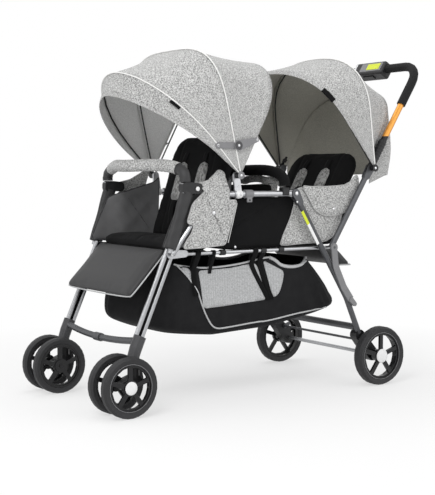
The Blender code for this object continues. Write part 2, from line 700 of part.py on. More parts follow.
def rear_bars():
    """The cross tube, the axle and the brake bar between the rear legs."""
    reach = FRAME_X - REAR_LEG_RADIUS - GAP
    cross = tube_curve(
        "rear_cross_tube", [(-reach, *CROSS_TUBE_AT), (reach, *CROSS_TUBE_AT)], CROSS_TUBE_RADIUS
    )
    add_piece("rear_cross_tube", cross, FRAME_PAINT, (0, *CROSS_TUBE_AT))
    half = REAR_TRACK_HALF + REAR_TYRE_WIDTH / 2 * RIM_WIDTH_SHARE + 0.003
    axle = outline_mesh(
        "rear_axle", [circle((AXLE_Y, REAR_WHEEL_RADIUS), REAR_AXLE_RADIUS, 16, 0.5)], -half, half
    )
    add_piece("rear_axle", axle, RAIL_METAL, (0, AXLE_Y, REAR_WHEEL_RADIUS))
    inner = FRAME_X + 0.007 - AXLE_BRACKET_THICKNESS
    rod_half = inner + 0.010
    rod = outline_mesh("rod", [circle(BRAKE_AT, BRAKE_ROD_RADIUS, 12, 0.5)], -rod_half, rod_half)
    piece = add_piece("brake_bar", rod, FRAME_PAINT, (0, *BRAKE_AT))
    for _, side in SIDES:
        pawl = strap(BRAKE_AT, (BRAKE_AT[0] + 0.016, BRAKE_AT[1] + 0.008), 0.007, 0.0045)
        combine(piece, side_outline("pawl", side, [pawl], inner - 0.010, inner - 0.001), "UNION")


def lock_plate(side_name, side):
    """The curved plate that hooks the rear leg to the foot of the handle, with its finger tab."""
    outer_tube = FRAME_X + REAR_LEG_RADIUS
    low = outer_tube + LOCK_PLATE_CLEARANCE
    high = low + LOCK_PLATE_THICKNESS
    half = LOCK_PLATE_WIDTH / 2
    spine = rounded(
        at_side(0, [HANDLE_FOOT, (0.289, 0.385), (0.322, 0.318), (0.352, 0.278)]), 0.060, 4
    )
    flat = [Vector((point[1], point[2])) for point in spine]
    left, right = [], []
    for before, here, after in zip([flat[0]] + flat, flat, flat[1:] + [flat[-1]]):
        run = (after - before).normalized()
        normal = Vector((-run.y, run.x))
        left.append(tuple(here + normal * half))
        right.append(tuple(here - normal * half))
    outline = left + right[::-1]
    piece = add_piece(
        f"lock_plate_{side_name}",
        side_outline("plate", side, [outline], low, high),
        GREY_PLASTIC,
        (side * FRAME_X, *HANDLE_FOOT),
    )
    eye = side_outline("eye", side, [circle(HANDLE_FOOT, half + 0.002, 20)], low - 0.0005, high + 0.0005)
    combine(piece, eye, "UNION")
    hook = pin_mesh("hook", side, (0.322, 0.318), 0.005, outer_tube + GAP, low + 0.002, 12)
    combine(piece, hook, "UNION")
    tab = strap((0.352, 0.276), (0.366, 0.262), 0.008, 0.007)
    combine(piece, side_outline("tab", side, [tab], low - 0.002, high + 0.003), "UNION")
    eye_bore = pin_mesh("eye_bore", side, HANDLE_FOOT, 0.004 + GAP, low - 0.01, high + 0.01, 12)
    combine(piece, eye_bore, "DIFFERENCE")


def lower_handle(side_name, side):
    """The lower handle tube from the lower rail up to the folding joint, with the joint's cheeks."""
    x = side * FRAME_X
    cheek_start = Vector((HANDLE_PIVOT[0], HANDLE_PIVOT[1])) - Vector((HANDLE_DIR.y, HANDLE_DIR.z)) * 0.020
    tube = tube_mesh("tube", at_side(x, [HANDLE_FOOT, tuple(cheek_start)]), RAIL_RADIUS)
    piece = add_piece(f"lower_handle_{side_name}", tube, FRAME_PAINT, (x, *HANDLE_FOOT))
    root = cheek_start - Vector((HANDLE_DIR.y, HANDLE_DIR.z)) * 0.012
    cheeks = strap(tuple(root), HANDLE_PIVOT, 0.0105, 0.0130)
    for low, high in ((-0.0078, -0.0044), (0.0044, 0.0078)):
        mesh = side_outline("cheek", side, [cheeks], FRAME_X + low, FRAME_X + high)
        combine(piece, mesh, "UNION")
    low_x, high_x = FRAME_X - 0.0060, HOOD_LAYER + 2.5 * HOOD_DISC_STEP
    joint_pin = pin_mesh("joint_pin", side, HANDLE_PIVOT, HOOD_PIN_RADIUS, low_x, high_x, 12)
    combine(piece, joint_pin, "UNION")
    plate_outer = FRAME_X + REAR_LEG_RADIUS + LOCK_PLATE_CLEARANCE + LOCK_PLATE_THICKNESS
    foot_pin = pin_mesh("foot_pin", side, HANDLE_FOOT, 0.004, FRAME_X, plate_outer + 0.001, 12)
    combine(piece, foot_pin, "UNION")


def handle_path(start):
    """The U of the handle from a distance up one side, over the top and down the other."""
    return rounded(
        [
            handle_point(start, FRAME_X),
            handle_point(HANDLE_REACH, FRAME_X),
            handle_point(HANDLE_REACH, -FRAME_X),
            handle_point(start, -FRAME_X),
        ],
        HANDLE_CORNER,
        6,
    )


def handle():
    """The folding handle: U tube with a tongue at each joint, foam grip, console and fold trigger."""
    origin = handle_point(0)
    piece = add_piece(
        "handle_tube", tube_mesh("tube", handle_path(0.020), HANDLE_RADIUS), RAIL_METAL, origin
    )
    up = Vector((HANDLE_DIR.y, HANDLE_DIR.z))
    tongue = strap(HANDLE_PIVOT, tuple(Vector(HANDLE_PIVOT) + up * 0.032), 0.0120, 0.0085)
    half = 0.0044 - GAP
    for _, side in SIDES:
        combine(piece, side_outline("tongue", side, [tongue], FRAME_X - half, FRAME_X + half), "UNION")
        bore = pin_mesh(
            "bore", side, HANDLE_PIVOT, HOOD_PIN_RADIUS + GAP, FRAME_X - 0.01, FRAME_X + 0.01, 12
        )
        combine(piece, bore, "DIFFERENCE")
    grip = add_piece(
        "handle_grip", tube_mesh("grip", handle_path(GRIP_START), GRIP_RADIUS), GRIP_FOAM, origin
    )
    combine(
        grip, tube_mesh("grip_bore", handle_path(GRIP_START - 0.01), HANDLE_RADIUS + GAP), "DIFFERENCE"
    )
    normal = Vector((1, 0, 0)).cross(HANDLE_DIR)
    frame = Matrix((Vector((1, 0, 0)), HANDLE_DIR, normal)).transposed().to_4x4()
    frame.translation = handle_point(HANDLE_REACH)
    width, height, depth = CONSOLE_SIZE
    low = (-width / 2, -height * 0.6, -depth / 2)
    high = (width / 2, height * 0.4, depth / 2)
    console = add_piece("handle_console", box_mesh("console", low, high, 0.006, frame), GREY_PLASTIC, origin)
    centre = (handle_point(HANDLE_REACH)[1], handle_point(HANDLE_REACH)[2])
    combine(
        console, outline_mesh("bore", [circle(centre, GRIP_RADIUS + 2 * GAP, 24, 0.5)], -width, width),
        "DIFFERENCE",
    )
    trigger_x, trigger_y, trigger_z = (size / 2 for size in TRIGGER_SIZE)
    pocket_floor = low[1] + TRIGGER_TRAVEL + 2 * trigger_y - 0.003 + GAP
    pocket = box_mesh(
        "pocket", (-trigger_x - GAP, low[1] - 0.01, -trigger_z - GAP),
        (trigger_x + GAP, pocket_floor, trigger_z + GAP), 0, frame,
    )
    combine(console, pocket, "DIFFERENCE")
    face = pocket_floor - TRIGGER_TRAVEL - GAP
    trigger = box_mesh(
        "trigger", (-trigger_x, face - 2 * trigger_y, -trigger_z), (trigger_x, face, trigger_z), 0, frame
    )
    add_piece("fold_trigger", trigger, BLACK_PLASTIC, origin)


def bow_points(pivot, half_width, shape, start, steps=9, grow=0.0):
    """A hood bow from its left leg over to its right leg, on the plane through the pivots."""
    angle, straight, height, squareness = shape
    section = [(half_width, start), (half_width, straight)]
    for step in range(1, steps + 1):
        turn = math.pi / 2 * step / steps
        section.append(
            (
                half_width * math.cos(turn) ** (2 / squareness) if step < steps else 0.0,
                straight + (height + grow - straight) * math.sin(turn) ** (2 / squareness),
            )
        )
    section += [(-x, reach) for x, reach in section[-2::-1]]
    lean = math.radians(angle)
    return [
        (x, pivot[0] + reach * math.cos(lean), pivot[1] + reach * math.sin(lean)) for x, reach in section
    ]


def hood_bow(name, pivot, layer, shape, stay_pins=False):
    """One bow: a bent wire with an eye at each pivot, and pins for the stays where it has them."""
    x = HOOD_LAYER + layer * HOOD_DISC_STEP
    wire = tube_mesh("wire", bow_points(pivot, x, shape, BOW_LEG_START, 7), BOW_RADIUS, 1)
    piece = add_piece(name, wire, BLACK_PLASTIC, (0, *pivot))
    half = HOOD_DISC_THICKNESS / 2
    for _, side in SIDES:
        eye = [circle(pivot, HOOD_DISC_RADIUS, 16), circle(pivot, HOOD_PIN_RADIUS + GAP, 12, 0.5)]
        combine(piece, side_outline("eye", side, eye, x - half, x + half), "UNION")
        if stay_pins:
            at = polar(pivot, STAY_RADIUS, shape[0])
            high = HOOD_FABRIC_X + HOOD_FABRIC_THICKNESS + (2 if layer else 3) * STAY_THICKNESS
            combine(piece, pin_mesh("stay_pin", side, at, 0.0018, x - 0.001, high, 8), "UNION")


def polar(pivot, reach, angle):
    """A (Y, Z) point at an angle in degrees from the rear about a pivot."""
    return (
        pivot[0] + reach * math.cos(math.radians(angle)),
        pivot[1] + reach * math.sin(math.radians(angle)),
    )


def cloth_solid(name, lines, thickness):
    """A closed thin shell over lines of points, thickened to the outside of a hood."""
    shape = bmesh.new()
    grid = [[shape.verts.new(point) for point in line] for line in lines]
    for first, second in zip(grid, grid[1:]):
        for a, b, c, d in zip(first, first[1:], second[1:], second):
            shape.faces.new((a, b, c, d))
    bmesh.ops.recalc_face_normals(shape, faces=shape.faces)
    middle = shape.faces[len(shape.faces) // 2]
    if middle.normal.z < 0:
        bmesh.ops.reverse_faces(shape, faces=shape.faces)
    bmesh.ops.solidify(shape, geom=shape.faces[:], thickness=-thickness)
    bmesh.ops.recalc_face_normals(shape, faces=shape.faces)
    mesh = bpy.data.meshes.new(name)
    shape.to_mesh(mesh)
    shape.free()
    return mesh


def hood_fabric(name, pivot, bows):
    """The fabric over a hood's bows, one thin shell that is drawn straight from bow to bow."""
    lines = [
        bow_points(pivot, HOOD_FABRIC_X, ring, HOOD_FABRIC_START, 8, HOOD_FABRIC_OFFSET)
        for ring in bows.values()
    ]
    return add_piece(name, cloth_solid(name, lines, HOOD_FABRIC_THICKNESS), GREY_FABRIC, (0, *pivot))


def stay_link(name, side, layer, start, end, start_radius, end_radius):
    """One arm of a hood's over-centre stay."""
    low = HOOD_FABRIC_X + HOOD_FABRIC_THICKNESS + 0.001 + layer * (STAY_THICKNESS + GAP)
    outline = strap(start, end, start_radius, end_radius)
    bore = circle(start, 0.0018 + GAP, 8, 0.5)
    mesh = side_outline(name, side, [outline, bore], low, low + STAY_THICKNESS)
    return add_piece(name, mesh, GREY_PLASTIC, (side * low, *start))


def front_hood():
    """The front hood: three bows, the fabric and the two over-centre stays."""
    pivot = FRONT_HOOD_PIVOT
    hood_bow("front_hood_rear_bow", pivot, 0, FRONT_BOWS["rear"], True)
    hood_bow("front_hood_middle_bow", pivot, 1, FRONT_BOWS["middle"])
    hood_bow("front_hood_front_bow", pivot, 2, FRONT_BOWS["front"], True)
    fabric = hood_fabric("front_hood_fabric", pivot, FRONT_BOWS)
    rear_pin = polar(pivot, STAY_RADIUS, FRONT_BOWS["rear"][0])
    front_pin = polar(pivot, STAY_RADIUS, FRONT_BOWS["front"][0])
    knee = polar(pivot, STAY_RADIUS * 0.74, (FRONT_BOWS["rear"][0] + FRONT_BOWS["front"][0]) / 2)
    for side_name, side in SIDES:
        for at in (rear_pin, front_pin):
            hole = pin_mesh("eyelet", side, at, 0.005, HOOD_FABRIC_X - 0.004, HOOD_FABRIC_X + 0.006, 8)
            combine(fabric, hole, "DIFFERENCE")
        half = STAY_WIDTH / 2
        stay_link(f"stay_front_link_{side_name}", side, 0, front_pin, knee, half, half)
        stay_link(f"stay_rear_link_{side_name}", side, 1, rear_pin, knee, half * 0.7, STAY_KNEE_RADIUS)


def rear_hood():
    """The rear hood: two bows, the fabric clipped towards the handle and the flap behind."""
    hood_bow("rear_hood_middle_bow", HANDLE_PIVOT, 1, REAR_BOWS["middle"])
    hood_bow("rear_hood_front_bow", HANDLE_PIVOT, 2, REAR_BOWS["front"])
    fabric = hood_fabric("rear_hood_fabric", HANDLE_PIVOT, REAR_BOWS)
    angle, straight, height, squareness = REAR_BOWS["rear"]
    lean = math.radians(angle + 1.0)
    top, foot = [], []
    steps = 10
    for step in range(-steps, steps + 1):
        x = REAR_FLAP_HALF * step / steps
        share = (1 - (abs(x) / HOOD_FABRIC_X) ** squareness) ** (1 / squareness)
        reach = straight + (height + HOOD_FABRIC_OFFSET - straight) * share + 0.0010
        top.append((x, HANDLE_PIVOT[0] + reach * math.cos(lean), HANDLE_PIVOT[1] + reach * math.sin(lean)))
        wrap = (step / steps) ** 4
        foot.append((x, REAR_FLAP_FOOT[0] - REAR_FLAP_WRAP * wrap, REAR_FLAP_FOOT[1] - 0.025 * wrap))
    combine(fabric, cloth_solid("flap", [foot, top], HOOD_FABRIC_THICKNESS), "UNION")


def bumper_bar(name, foot, reach, finish):
    """A padded bumper bar: a bowed U whose ends drop into the sockets of the frame."""
    foot_y, foot_z = foot
    points = [(FRAME_X, foot_y, foot_z)]
    steps = 12
    for step in range(steps + 1):
        turn = math.pi * step / steps
        lift = math.sin(turn)
        rise = BUMPER_RISE * lift**0.6 - 0.010 * lift**6
        points.append(
            (FRAME_X * math.cos(turn), foot_y - reach * lift**5, foot_z + 0.010 + rise)
        )
    points.append((-FRAME_X, foot_y, foot_z))
    radii = [0.5] + [0.5 + 0.5 * math.sin(math.pi * step / steps) ** 0.4 for step in range(steps + 1)] + [0.5]
    curve = tube_curve(name, points, BUMPER_RADIUS, 3, radii)
    add_piece(name, curve, finish, (0, foot_y, foot_z))


def crowned_pad(name, half_width, length, thickness, finish, crown=CUSHION_CROWN):
    """A padded panel lying on XY from y 0 to its length: crowned on top, with drawn-in edges."""
    shape = bmesh.new()
    columns, rows = 6, 7
    bmesh.ops.create_grid(shape, x_segments=columns, y_segments=rows, size=1)
    bmesh.ops.translate(shape, vec=(0, 1, 0), verts=shape.verts)
    bmesh.ops.scale(shape, vec=(half_width, length / 2, 1), verts=shape.verts)
    for vert in shape.verts:
        across = vert.co.x / half_width
        along = 2 * vert.co.y / length - 1
        vert.co.x *= 1 - 0.03 * (1 - along * along)
        vert.co.z = crown * (1 - across * across) * (1 - along * along)
        if abs(abs(across) - 1 / 3) < 0.05:
            vert.co.z -= crown * 0.5
    mesh = bpy.data.meshes.new(name)
    shape.to_mesh(mesh)
    shape.free()
    mesh.materials.append(finish)
    return mesh


def pad_piece(name, half_width, length, thickness, finish, frame, origin, crown=CUSHION_CROWN):
    """A crowned pad set on a frame of axes: Y along it, Z out of its padded face."""
    mesh = crowned_pad(name, half_width, length, thickness, finish, crown)
    mesh.transform(frame)
    mesh.transform(Matrix.Translation(-Vector(origin)))
    piece = bpy.data.objects.new(name, mesh)
    piece.location = origin
    piece.parent = ROOT
    PARTS.objects.link(piece)
    wall = piece.modifiers.new("Filling", "SOLIDIFY")
    wall.thickness = thickness
    wall.offset = -1.0
    round_over = piece.modifiers.new("Round", "BEVEL")
    round_over.width = thickness * 0.25
    round_over.segments = 2
    round_over.limit_method = "ANGLE"
    round_over.angle_limit = math.radians(50)
    return piece


def sloped(foot, angle, flip=1):
    """Axes at a (Y, Z) foot: Y up a slope leaning back by an angle from upright, Z out of its front."""
    lean = math.radians(angle)
    up = Vector((0, math.sin(lean), math.cos(lean)))
    across = Vector((flip, 0, 0))
    frame = Matrix((across, up, across.cross(up))).transposed().to_4x4()
    frame.translation = (0, *foot)
    return frame


def front_seat():
    """The front seat: cushion, floor and the grey side panels outside the frame, sewn into one cover."""
    top = SEAT_BASE_Z + CUSHION_THICKNESS
    frame = Matrix.Translation((0, SEAT_FRONT_Y, top))
    length = FRONT_SEAT_BACK_Y - SEAT_FRONT_Y
    piece = pad_piece(
        "front_seat", SEAT_HALF_WIDTH, length, CUSHION_THICKNESS, BLACK_FABRIC, frame, (0, SEAT_FRONT_Y, top)
    )
    web_low = LOWER_RAIL_Z + LOWER_RAIL_RADIUS + GAP
    outer = SIDE_PANEL_X + 0.003
    panel = [
        (-0.246, 0.474), (FRONT_SEAT_BACK_Y + 0.008, web_low), (-0.098, 0.592),
        (-0.128, 0.640), (-0.200, 0.640), (-0.204, 0.592), (-0.250, 0.585),
    ]
    for _, side in SIDES:
        low, high = sorted((side * (SEAT_HALF_WIDTH - 0.02), side * outer))
        web = box_mesh("web", (low, -0.235, web_low), (high, FRONT_SEAT_BACK_Y - 0.002, web_low + 0.004))
        combine(piece, web, "UNION")
        combine(piece, side_outline("panel", side, [panel], SIDE_PANEL_X, outer), "UNION")


def rear_seat():
    """The rear seat: footwell floor, side walls and cushion, hung between the rails."""
    low_z = SEAT_BASE_Z
    wall = [
        (FRONT_SEAT_BACK_Y + 0.046, low_z),
        (REAR_SEAT_BACK_Y, low_z),
        (REAR_SEAT_BACK_Y + 0.040, WALL_TOP_Z),
        (REAR_SEAT_BACK_Y + 0.050, WALL_TOP_Z + 0.036),
        (0.160, WALL_TOP_Z + 0.036),
        (0.150, WALL_TOP_Z),
        (FRONT_SEAT_BACK_Y + 0.086, WALL_TOP_Z),
    ]
    floor = box_mesh(
        "floor",
        (-SEAT_HALF_WIDTH, FRONT_SEAT_BACK_Y + 0.046, low_z),
        (SEAT_HALF_WIDTH, REAR_SEAT_BACK_Y, low_z + SEAT_WALL),
    )
    piece = add_piece("rear_seat", floor, BLACK_FABRIC, (0, REAR_SEAT_BACK_Y, low_z))
    tail = [
        (0.286, 0.4515), (0.300, 0.430), (0.335, 0.384), (0.392, 0.374), (0.396, 0.390), (0.345, 0.430),
        (0.300, 0.4525), (0.286, 0.4530),
    ]
    combine(piece, outline_mesh("tail", [tail], -0.150, 0.150), "UNION")
    for _, side in SIDES:
        low, high = SEAT_HALF_WIDTH - SEAT_WALL, SEAT_HALF_WIDTH + 0.0005
        combine(piece, side_outline("wall", side, [wall], low, high), "UNION")
    for _, side in SIDES:
        low, high = sorted((side * (SEAT_HALF_WIDTH - 0.002), side * (LOWER_RAIL_X + 0.005)))
        hem_low = LOWER_RAIL_Z + LOWER_RAIL_RADIUS + GAP
        hem = box_mesh("hem", (low, FRONT_SEAT_BACK_Y + 0.060, hem_low), (high, 0.262, hem_low + 0.003))
        combine(piece, hem, "UNION")
    cushion = box_mesh(
        "cushion",
        (-SEAT_HALF_WIDTH + 0.002, FOOTWELL_BACK_Y, low_z + 0.001),
        (SEAT_HALF_WIDTH - 0.002, REAR_SEAT_BACK_Y - 0.001, low_z + CUSHION_THICKNESS),
    )
    combine(piece, cushion, "UNION")


def backrests():
    """The two reclining backrests, each hinged at its foot behind its cushion."""
    front_foot = (FRONT_SEAT_BACK_Y - 0.0023, SEAT_BASE_Z + CUSHION_THICKNESS * 0.5)
    rear_foot = (REAR_SEAT_BACK_Y - 0.0036, SEAT_BASE_Z + CUSHION_THICKNESS * 0.5)
    for name, foot, angle, length in (
        ("front_backrest", front_foot, FRONT_BACKREST_ANGLE, FRONT_BACKREST_LENGTH),
        ("rear_backrest", rear_foot, REAR_BACKREST_ANGLE, REAR_BACKREST_LENGTH),
    ):
        frame = sloped(foot, angle)
        pad_piece(
            name, BACKREST_HALF_WIDTH, length, BACKREST_THICKNESS, BLACK_FABRIC, frame, (0, *foot)
        )


def footrest():
    """The leatherette calf rest, hinged at the front edge of the front seat."""
    foot = (SEAT_FRONT_Y - 0.0071, SEAT_BASE_Z + 0.012)
    slope = math.radians(FOOTREST_ANGLE)
    along = Vector((0, -math.cos(slope), -math.sin(slope)))
    across = Vector((-1, 0, 0))
    frame = Matrix((across, along, across.cross(along))).transposed().to_4x4()
    frame.translation = (0, *foot)
    pad_piece(
        "footrest", FOOTREST_HALF_WIDTH, FOOTREST_LENGTH, FOOTREST_THICKNESS, LEATHERETTE, frame,
        (0, *foot), 0.004,
    )


def basket():
    """The sagging shopping basket: one open-topped shell hung from the lower rails by straps."""
    levels = (
        (BASKET_TOP_HALF, ((-0.276, 0.420), (-0.10, 0.419), (0.10, 0.406), (0.242, 0.421))),
        (BASKET_TOP_HALF - 0.003, ((-0.318, 0.320), (-0.10, 0.315), (0.10, 0.312), (0.305, 0.330))),
        (BASKET_BOTTOM_HALF, ((-0.324, 0.246), (-0.105, 0.208), (0.10, 0.216), (0.354, 0.258))),
        (BASKET_BOTTOM_HALF - 0.020, ((-0.256, 0.205), (-0.107, 0.191), (0.087, 0.201), (0.304, 0.231))),
    )
    shape = bmesh.new()
    rings = []
    for half, line in levels:
        front, fore, aft, back = (Vector(point) for point in line)
        side_line = [front, front.lerp(fore, 0.14), fore, aft, back.lerp(aft, 0.14), back]
        left = [shape.verts.new((half, *point)) for point in side_line]
        back_row = [shape.verts.new((half * share, *back)) for share in (0.88, -0.88)]
        right = [shape.verts.new((-half, *point)) for point in side_line]
        front_row = [shape.verts.new((half * share, *front)) for share in (0.88, -0.88)]
        rings.append(left + back_row + right[::-1] + front_row[::-1])
    for upper, lower in zip(rings, rings[1:]):
        for a, b, c, d in zip(upper, upper[1:] + upper[:1], lower[1:] + lower[:1], lower):
            shape.faces.new((a, b, c, d))
    rows = [[left[0], front_row[0], front_row[1], right[0]]]
    for start, end in zip(left[1:-1], right[1:-1]):
        inner = [shape.verts.new((start.co.x * share, start.co.y, start.co.z)) for share in (0.88, -0.88)]
        rows.append([start, *inner, end])
    rows.append([left[-1], back_row[0], back_row[1], right[-1]])
    for first, second in zip(rows, rows[1:]):
        for a, b, c, d in zip(first, first[1:], second[1:], second):
            shape.faces.new((a, b, c, d))
    bmesh.ops.recalc_face_normals(shape, faces=shape.faces)
    lowest = min(shape.faces, key=lambda face: face.calc_center_median().z)
    if lowest.normal.z > 0:
        bmesh.ops.reverse_faces(shape, faces=shape.faces)
    mesh = bpy.data.meshes.new("basket")
    shape.to_mesh(mesh)
    shape.free()
    piece = add_piece("basket", mesh, BLACK_FABRIC)
    smooth = piece.modifiers.new("Soften", "SUBSURF")
    smooth.levels = smooth.render_levels = 1
    wall = piece.modifiers.new("Wall", "SOLIDIFY")
    wall.thickness = BASKET_WALL
    wall.offset = -1.0
    top = LOWER_RAIL_Z - LOWER_RAIL_RADIUS - GAP
    for _, side in SIDES:
        for y in (-0.200, 0.000, 0.150):
            low, high = sorted((side * (BASKET_TOP_HALF - 0.0055), side * (LOWER_RAIL_X + 0.003)))
            combine(piece, box_mesh("strap", (low, y - 0.011, top - 0.035), (high, y + 0.011, top)), "UNION")


wheels()
for side_name, side in SIDES:
    caster_fork(side_name, side)
    front_leg(side_name, side)
    front_sleeve(side_name, side)
    side_frame(side_name, side)
    lower_rail(side_name, side)
    rear_leg(side_name, side)
    axle_bracket(side_name, side)
    lock_plate(side_name, side)
    lower_handle(side_name, side)
front_cross_bar()
rear_bars()
handle()
front_hood()
rear_hood()
bumper_bar("front_bumper", (BUMPER_SEAT[0], BUMPER_SEAT[1] + 0.0065), FRONT_BUMPER_REACH, GREY_FABRIC)
rear_bumper_foot = (REAR_BUMPER_Y, RAIL_Z + REAR_BUMPER_SEAT_RISE + GAP)
bumper_bar("rear_bumper", rear_bumper_foot, REAR_BUMPER_REACH, LEATHERETTE)
front_seat()
rear_seat()
backrests()
footrest()
basket()
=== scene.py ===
import math

import bmesh
import bpy
import numpy as np
from mathutils import Matrix, Vector
from mathutils.bvhtree import BVHTree


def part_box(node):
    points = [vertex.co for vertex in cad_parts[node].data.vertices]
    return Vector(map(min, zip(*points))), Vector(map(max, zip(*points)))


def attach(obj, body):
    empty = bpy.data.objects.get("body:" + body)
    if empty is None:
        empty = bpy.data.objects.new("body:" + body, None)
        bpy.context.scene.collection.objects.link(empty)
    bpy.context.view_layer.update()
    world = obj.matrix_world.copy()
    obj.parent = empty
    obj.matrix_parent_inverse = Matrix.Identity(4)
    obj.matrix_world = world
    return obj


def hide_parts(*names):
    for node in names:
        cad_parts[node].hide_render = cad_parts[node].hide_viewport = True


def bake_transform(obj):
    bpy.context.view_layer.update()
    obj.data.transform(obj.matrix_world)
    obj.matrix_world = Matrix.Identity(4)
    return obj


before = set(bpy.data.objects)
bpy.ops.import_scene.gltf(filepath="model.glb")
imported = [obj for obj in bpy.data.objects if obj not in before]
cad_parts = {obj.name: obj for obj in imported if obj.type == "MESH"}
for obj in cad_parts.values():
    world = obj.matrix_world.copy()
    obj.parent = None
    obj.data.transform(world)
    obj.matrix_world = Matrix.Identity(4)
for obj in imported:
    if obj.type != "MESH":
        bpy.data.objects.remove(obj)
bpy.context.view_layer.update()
bpy.context.scene.view_settings.view_transform = "Standard"

# The photograph's camera: a long lens, a little above the seats, in front of the
# pushchair's left side.


def linked(name, data):
    """A new object, put in the scene."""
    made = bpy.data.objects.new(name, data)
    bpy.context.scene.collection.objects.link(made)
    return made


camera_data = bpy.data.cameras.new("camera")
camera_data.sensor_fit = "VERTICAL"
camera_data.sensor_height = 36
camera_data.sensor_width = 36
camera_data.lens = 81.65
camera = linked("camera", camera_data)
camera.location = (2.9249, -2.0250, 0.6809)
camera.rotation_euler = (math.radians(86.097), 0, math.radians(56.03))
bpy.context.scene.camera = camera

# The studio: a seamless pale sweep of painted board, and soft lamps. The far floor turns
# to plain white for the camera, and the near floor keeps the pushchair's shadow.


def linear(code):
    """A hex colour as written for the screen, in the renderer's linear values."""
    parts = [int(code[i : i + 2], 16) / 255 for i in (1, 3, 5)]
    return (*[c / 12.92 if c <= 0.04045 else ((c + 0.055) / 1.055) ** 2.4 for c in parts], 1)


def add_node(tree, kind, inputs=None, **settings):
    """One shader node with its settings. Each input is a value or another node's socket."""
    made = tree.nodes.new(f"ShaderNode{kind}")
    for name, value in settings.items():
        setattr(made, name, value)
    for key, value in (inputs or {}).items():
        if isinstance(value, bpy.types.NodeSocket):
            tree.links.new(value, made.inputs[key])
        else:
            made.inputs[key].default_value = value
    return made


def modelled(name, shape, *materials):
    """A new object from a finished shape."""
    mesh = bpy.data.meshes.new(name)
    shape.to_mesh(mesh)
    shape.free()
    for material in materials:
        mesh.materials.append(material)
    return linked(name, mesh)


studio_white = bpy.data.materials.new("studio_painted_board")
studio_white.use_nodes = True
tree = studio_white.node_tree
tree.nodes.clear()
board = add_node(tree, "BsdfDiffuse", {"Color": linear("#F4F4F4")})
glow = add_node(tree, "Emission", {"Color": (1, 1, 1, 1), "Strength": 1.0})
place = add_node(tree, "TexCoord").outputs["Object"]
reach = add_node(tree, "VectorMath", {0: place}, operation="LENGTH").outputs["Value"]
far = add_node(
    tree, "MapRange", {"Value": reach, "From Min": 0.75, "From Max": 1.6, "To Min": 0.58}, clamp=True
)
ray = add_node(tree, "LightPath").outputs
seen = add_node(tree, "Math", {0: ray["Is Camera Ray"], 1: ray["Is Glossy Ray"]}, operation="MAXIMUM")
mixed = add_node(tree, "Math", {0: far.outputs["Result"], 1: seen.outputs[0]}, operation="MULTIPLY")
floor_mix = add_node(tree, "MixShader", {0: mixed.outputs[0], 1: board.outputs[0], 2: glow.outputs[0]})
add_node(tree, "OutputMaterial", {"Surface": floor_mix.outputs[0]})
shape = bmesh.new()
bmesh.ops.create_circle(shape, cap_ends=True, segments=96, radius=9)
floor = modelled("studio_floor", shape, studio_white)
floor.location = (0, 0, -0.0005)

world = bpy.data.worlds.new("studio")
world.use_nodes = True
bpy.context.scene.world = world
tree = world.node_tree
tree.nodes.clear()
room = add_node(tree, "Background", {"Color": linear("#FFFFFF"), "Strength": 0.62})
sky = add_node(tree, "Background", {"Color": (1, 1, 1, 1), "Strength": 1.0})
ray = add_node(tree, "LightPath").outputs
seen = add_node(tree, "Math", {0: ray["Is Camera Ray"], 1: ray["Is Glossy Ray"]}, operation="MAXIMUM")
seen = add_node(tree, "Math", {0: seen.outputs[0], 1: ray["Is Transmission Ray"]}, operation="MAXIMUM")
both = add_node(tree, "MixShader", {0: seen.outputs[0], 1: room.outputs[0], 2: sky.outputs[0]})
add_node(tree, "OutputWorld", {"Surface": both.outputs[0]})
for label, energy, size, spot, aim in (
    ("key_lamp", 46, 1.6, (1.7, -2.3, 2.6), (0, 0, 0.5)),
    ("fill_lamp", 20, 2.2, (2.8, 1.6, 1.5), (0, 0, 0.5)),
    ("top_lamp", 22, 2.0, (-0.6, -0.2, 3.0), (0, 0, 0.4)),
):
    lamp_data = bpy.data.lights.new(label, "AREA")
    lamp_data.energy = energy
    lamp_data.size = size
    lamp = linked(label, lamp_data)
    lamp.location = spot
    lamp.rotation_euler = (Vector(spot) - Vector(aim)).to_track_quat("Z", "Y").to_euler()

# The frame: drawn aluminium tube, satin anodised, bent cold and riveted. Fine draw lines
# along the tube and a slightly uneven sheen are what the eye sees.


def finish(name):
    """A new finish: its material, its node tree and its shader."""
    made = bpy.data.materials.new(name)
    made.use_nodes = True
    return made, made.node_tree, made.node_tree.nodes["Principled BSDF"]


def dress(material, *names):
    """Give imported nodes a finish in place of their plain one."""
    for name in names:
        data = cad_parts[name].data
        data.materials.clear()
        data.materials.append(material)


def satin_metal(name, light, dark, roughness, metallic=1.0):
    """Satin metal with a faint cloudy sheen 6 mm across and a fine grain to its surface."""
    made, tree, shader = finish(name)
    place = add_node(tree, "TexCoord").outputs["Object"]
    cloud = add_node(tree, "TexNoise", {"Vector": place, "Scale": 160, "Detail": 3})
    tone = add_node(
        tree, "Mix", {0: cloud.outputs[0], 6: linear(dark), 7: linear(light)}, data_type="RGBA"
    )
    tree.links.new(tone.outputs[2], shader.inputs["Base Color"])
    shader.inputs["Metallic"].default_value = metallic
    uneven = add_node(
        tree, "MapRange",
        {"Value": cloud.outputs[0], "To Min": roughness - 0.06, "To Max": roughness + 0.08},
    )
    tree.links.new(uneven.outputs[0], shader.inputs["Roughness"])
    grain = add_node(tree, "TexNoise", {"Vector": place, "Scale": 1400, "Detail": 2})
    bump = add_node(tree, "Bump", {"Height": grain.outputs[0], "Strength": 0.08, "Distance": 0.0002})
    tree.links.new(bump.outputs[0], shader.inputs["Normal"])
    return made


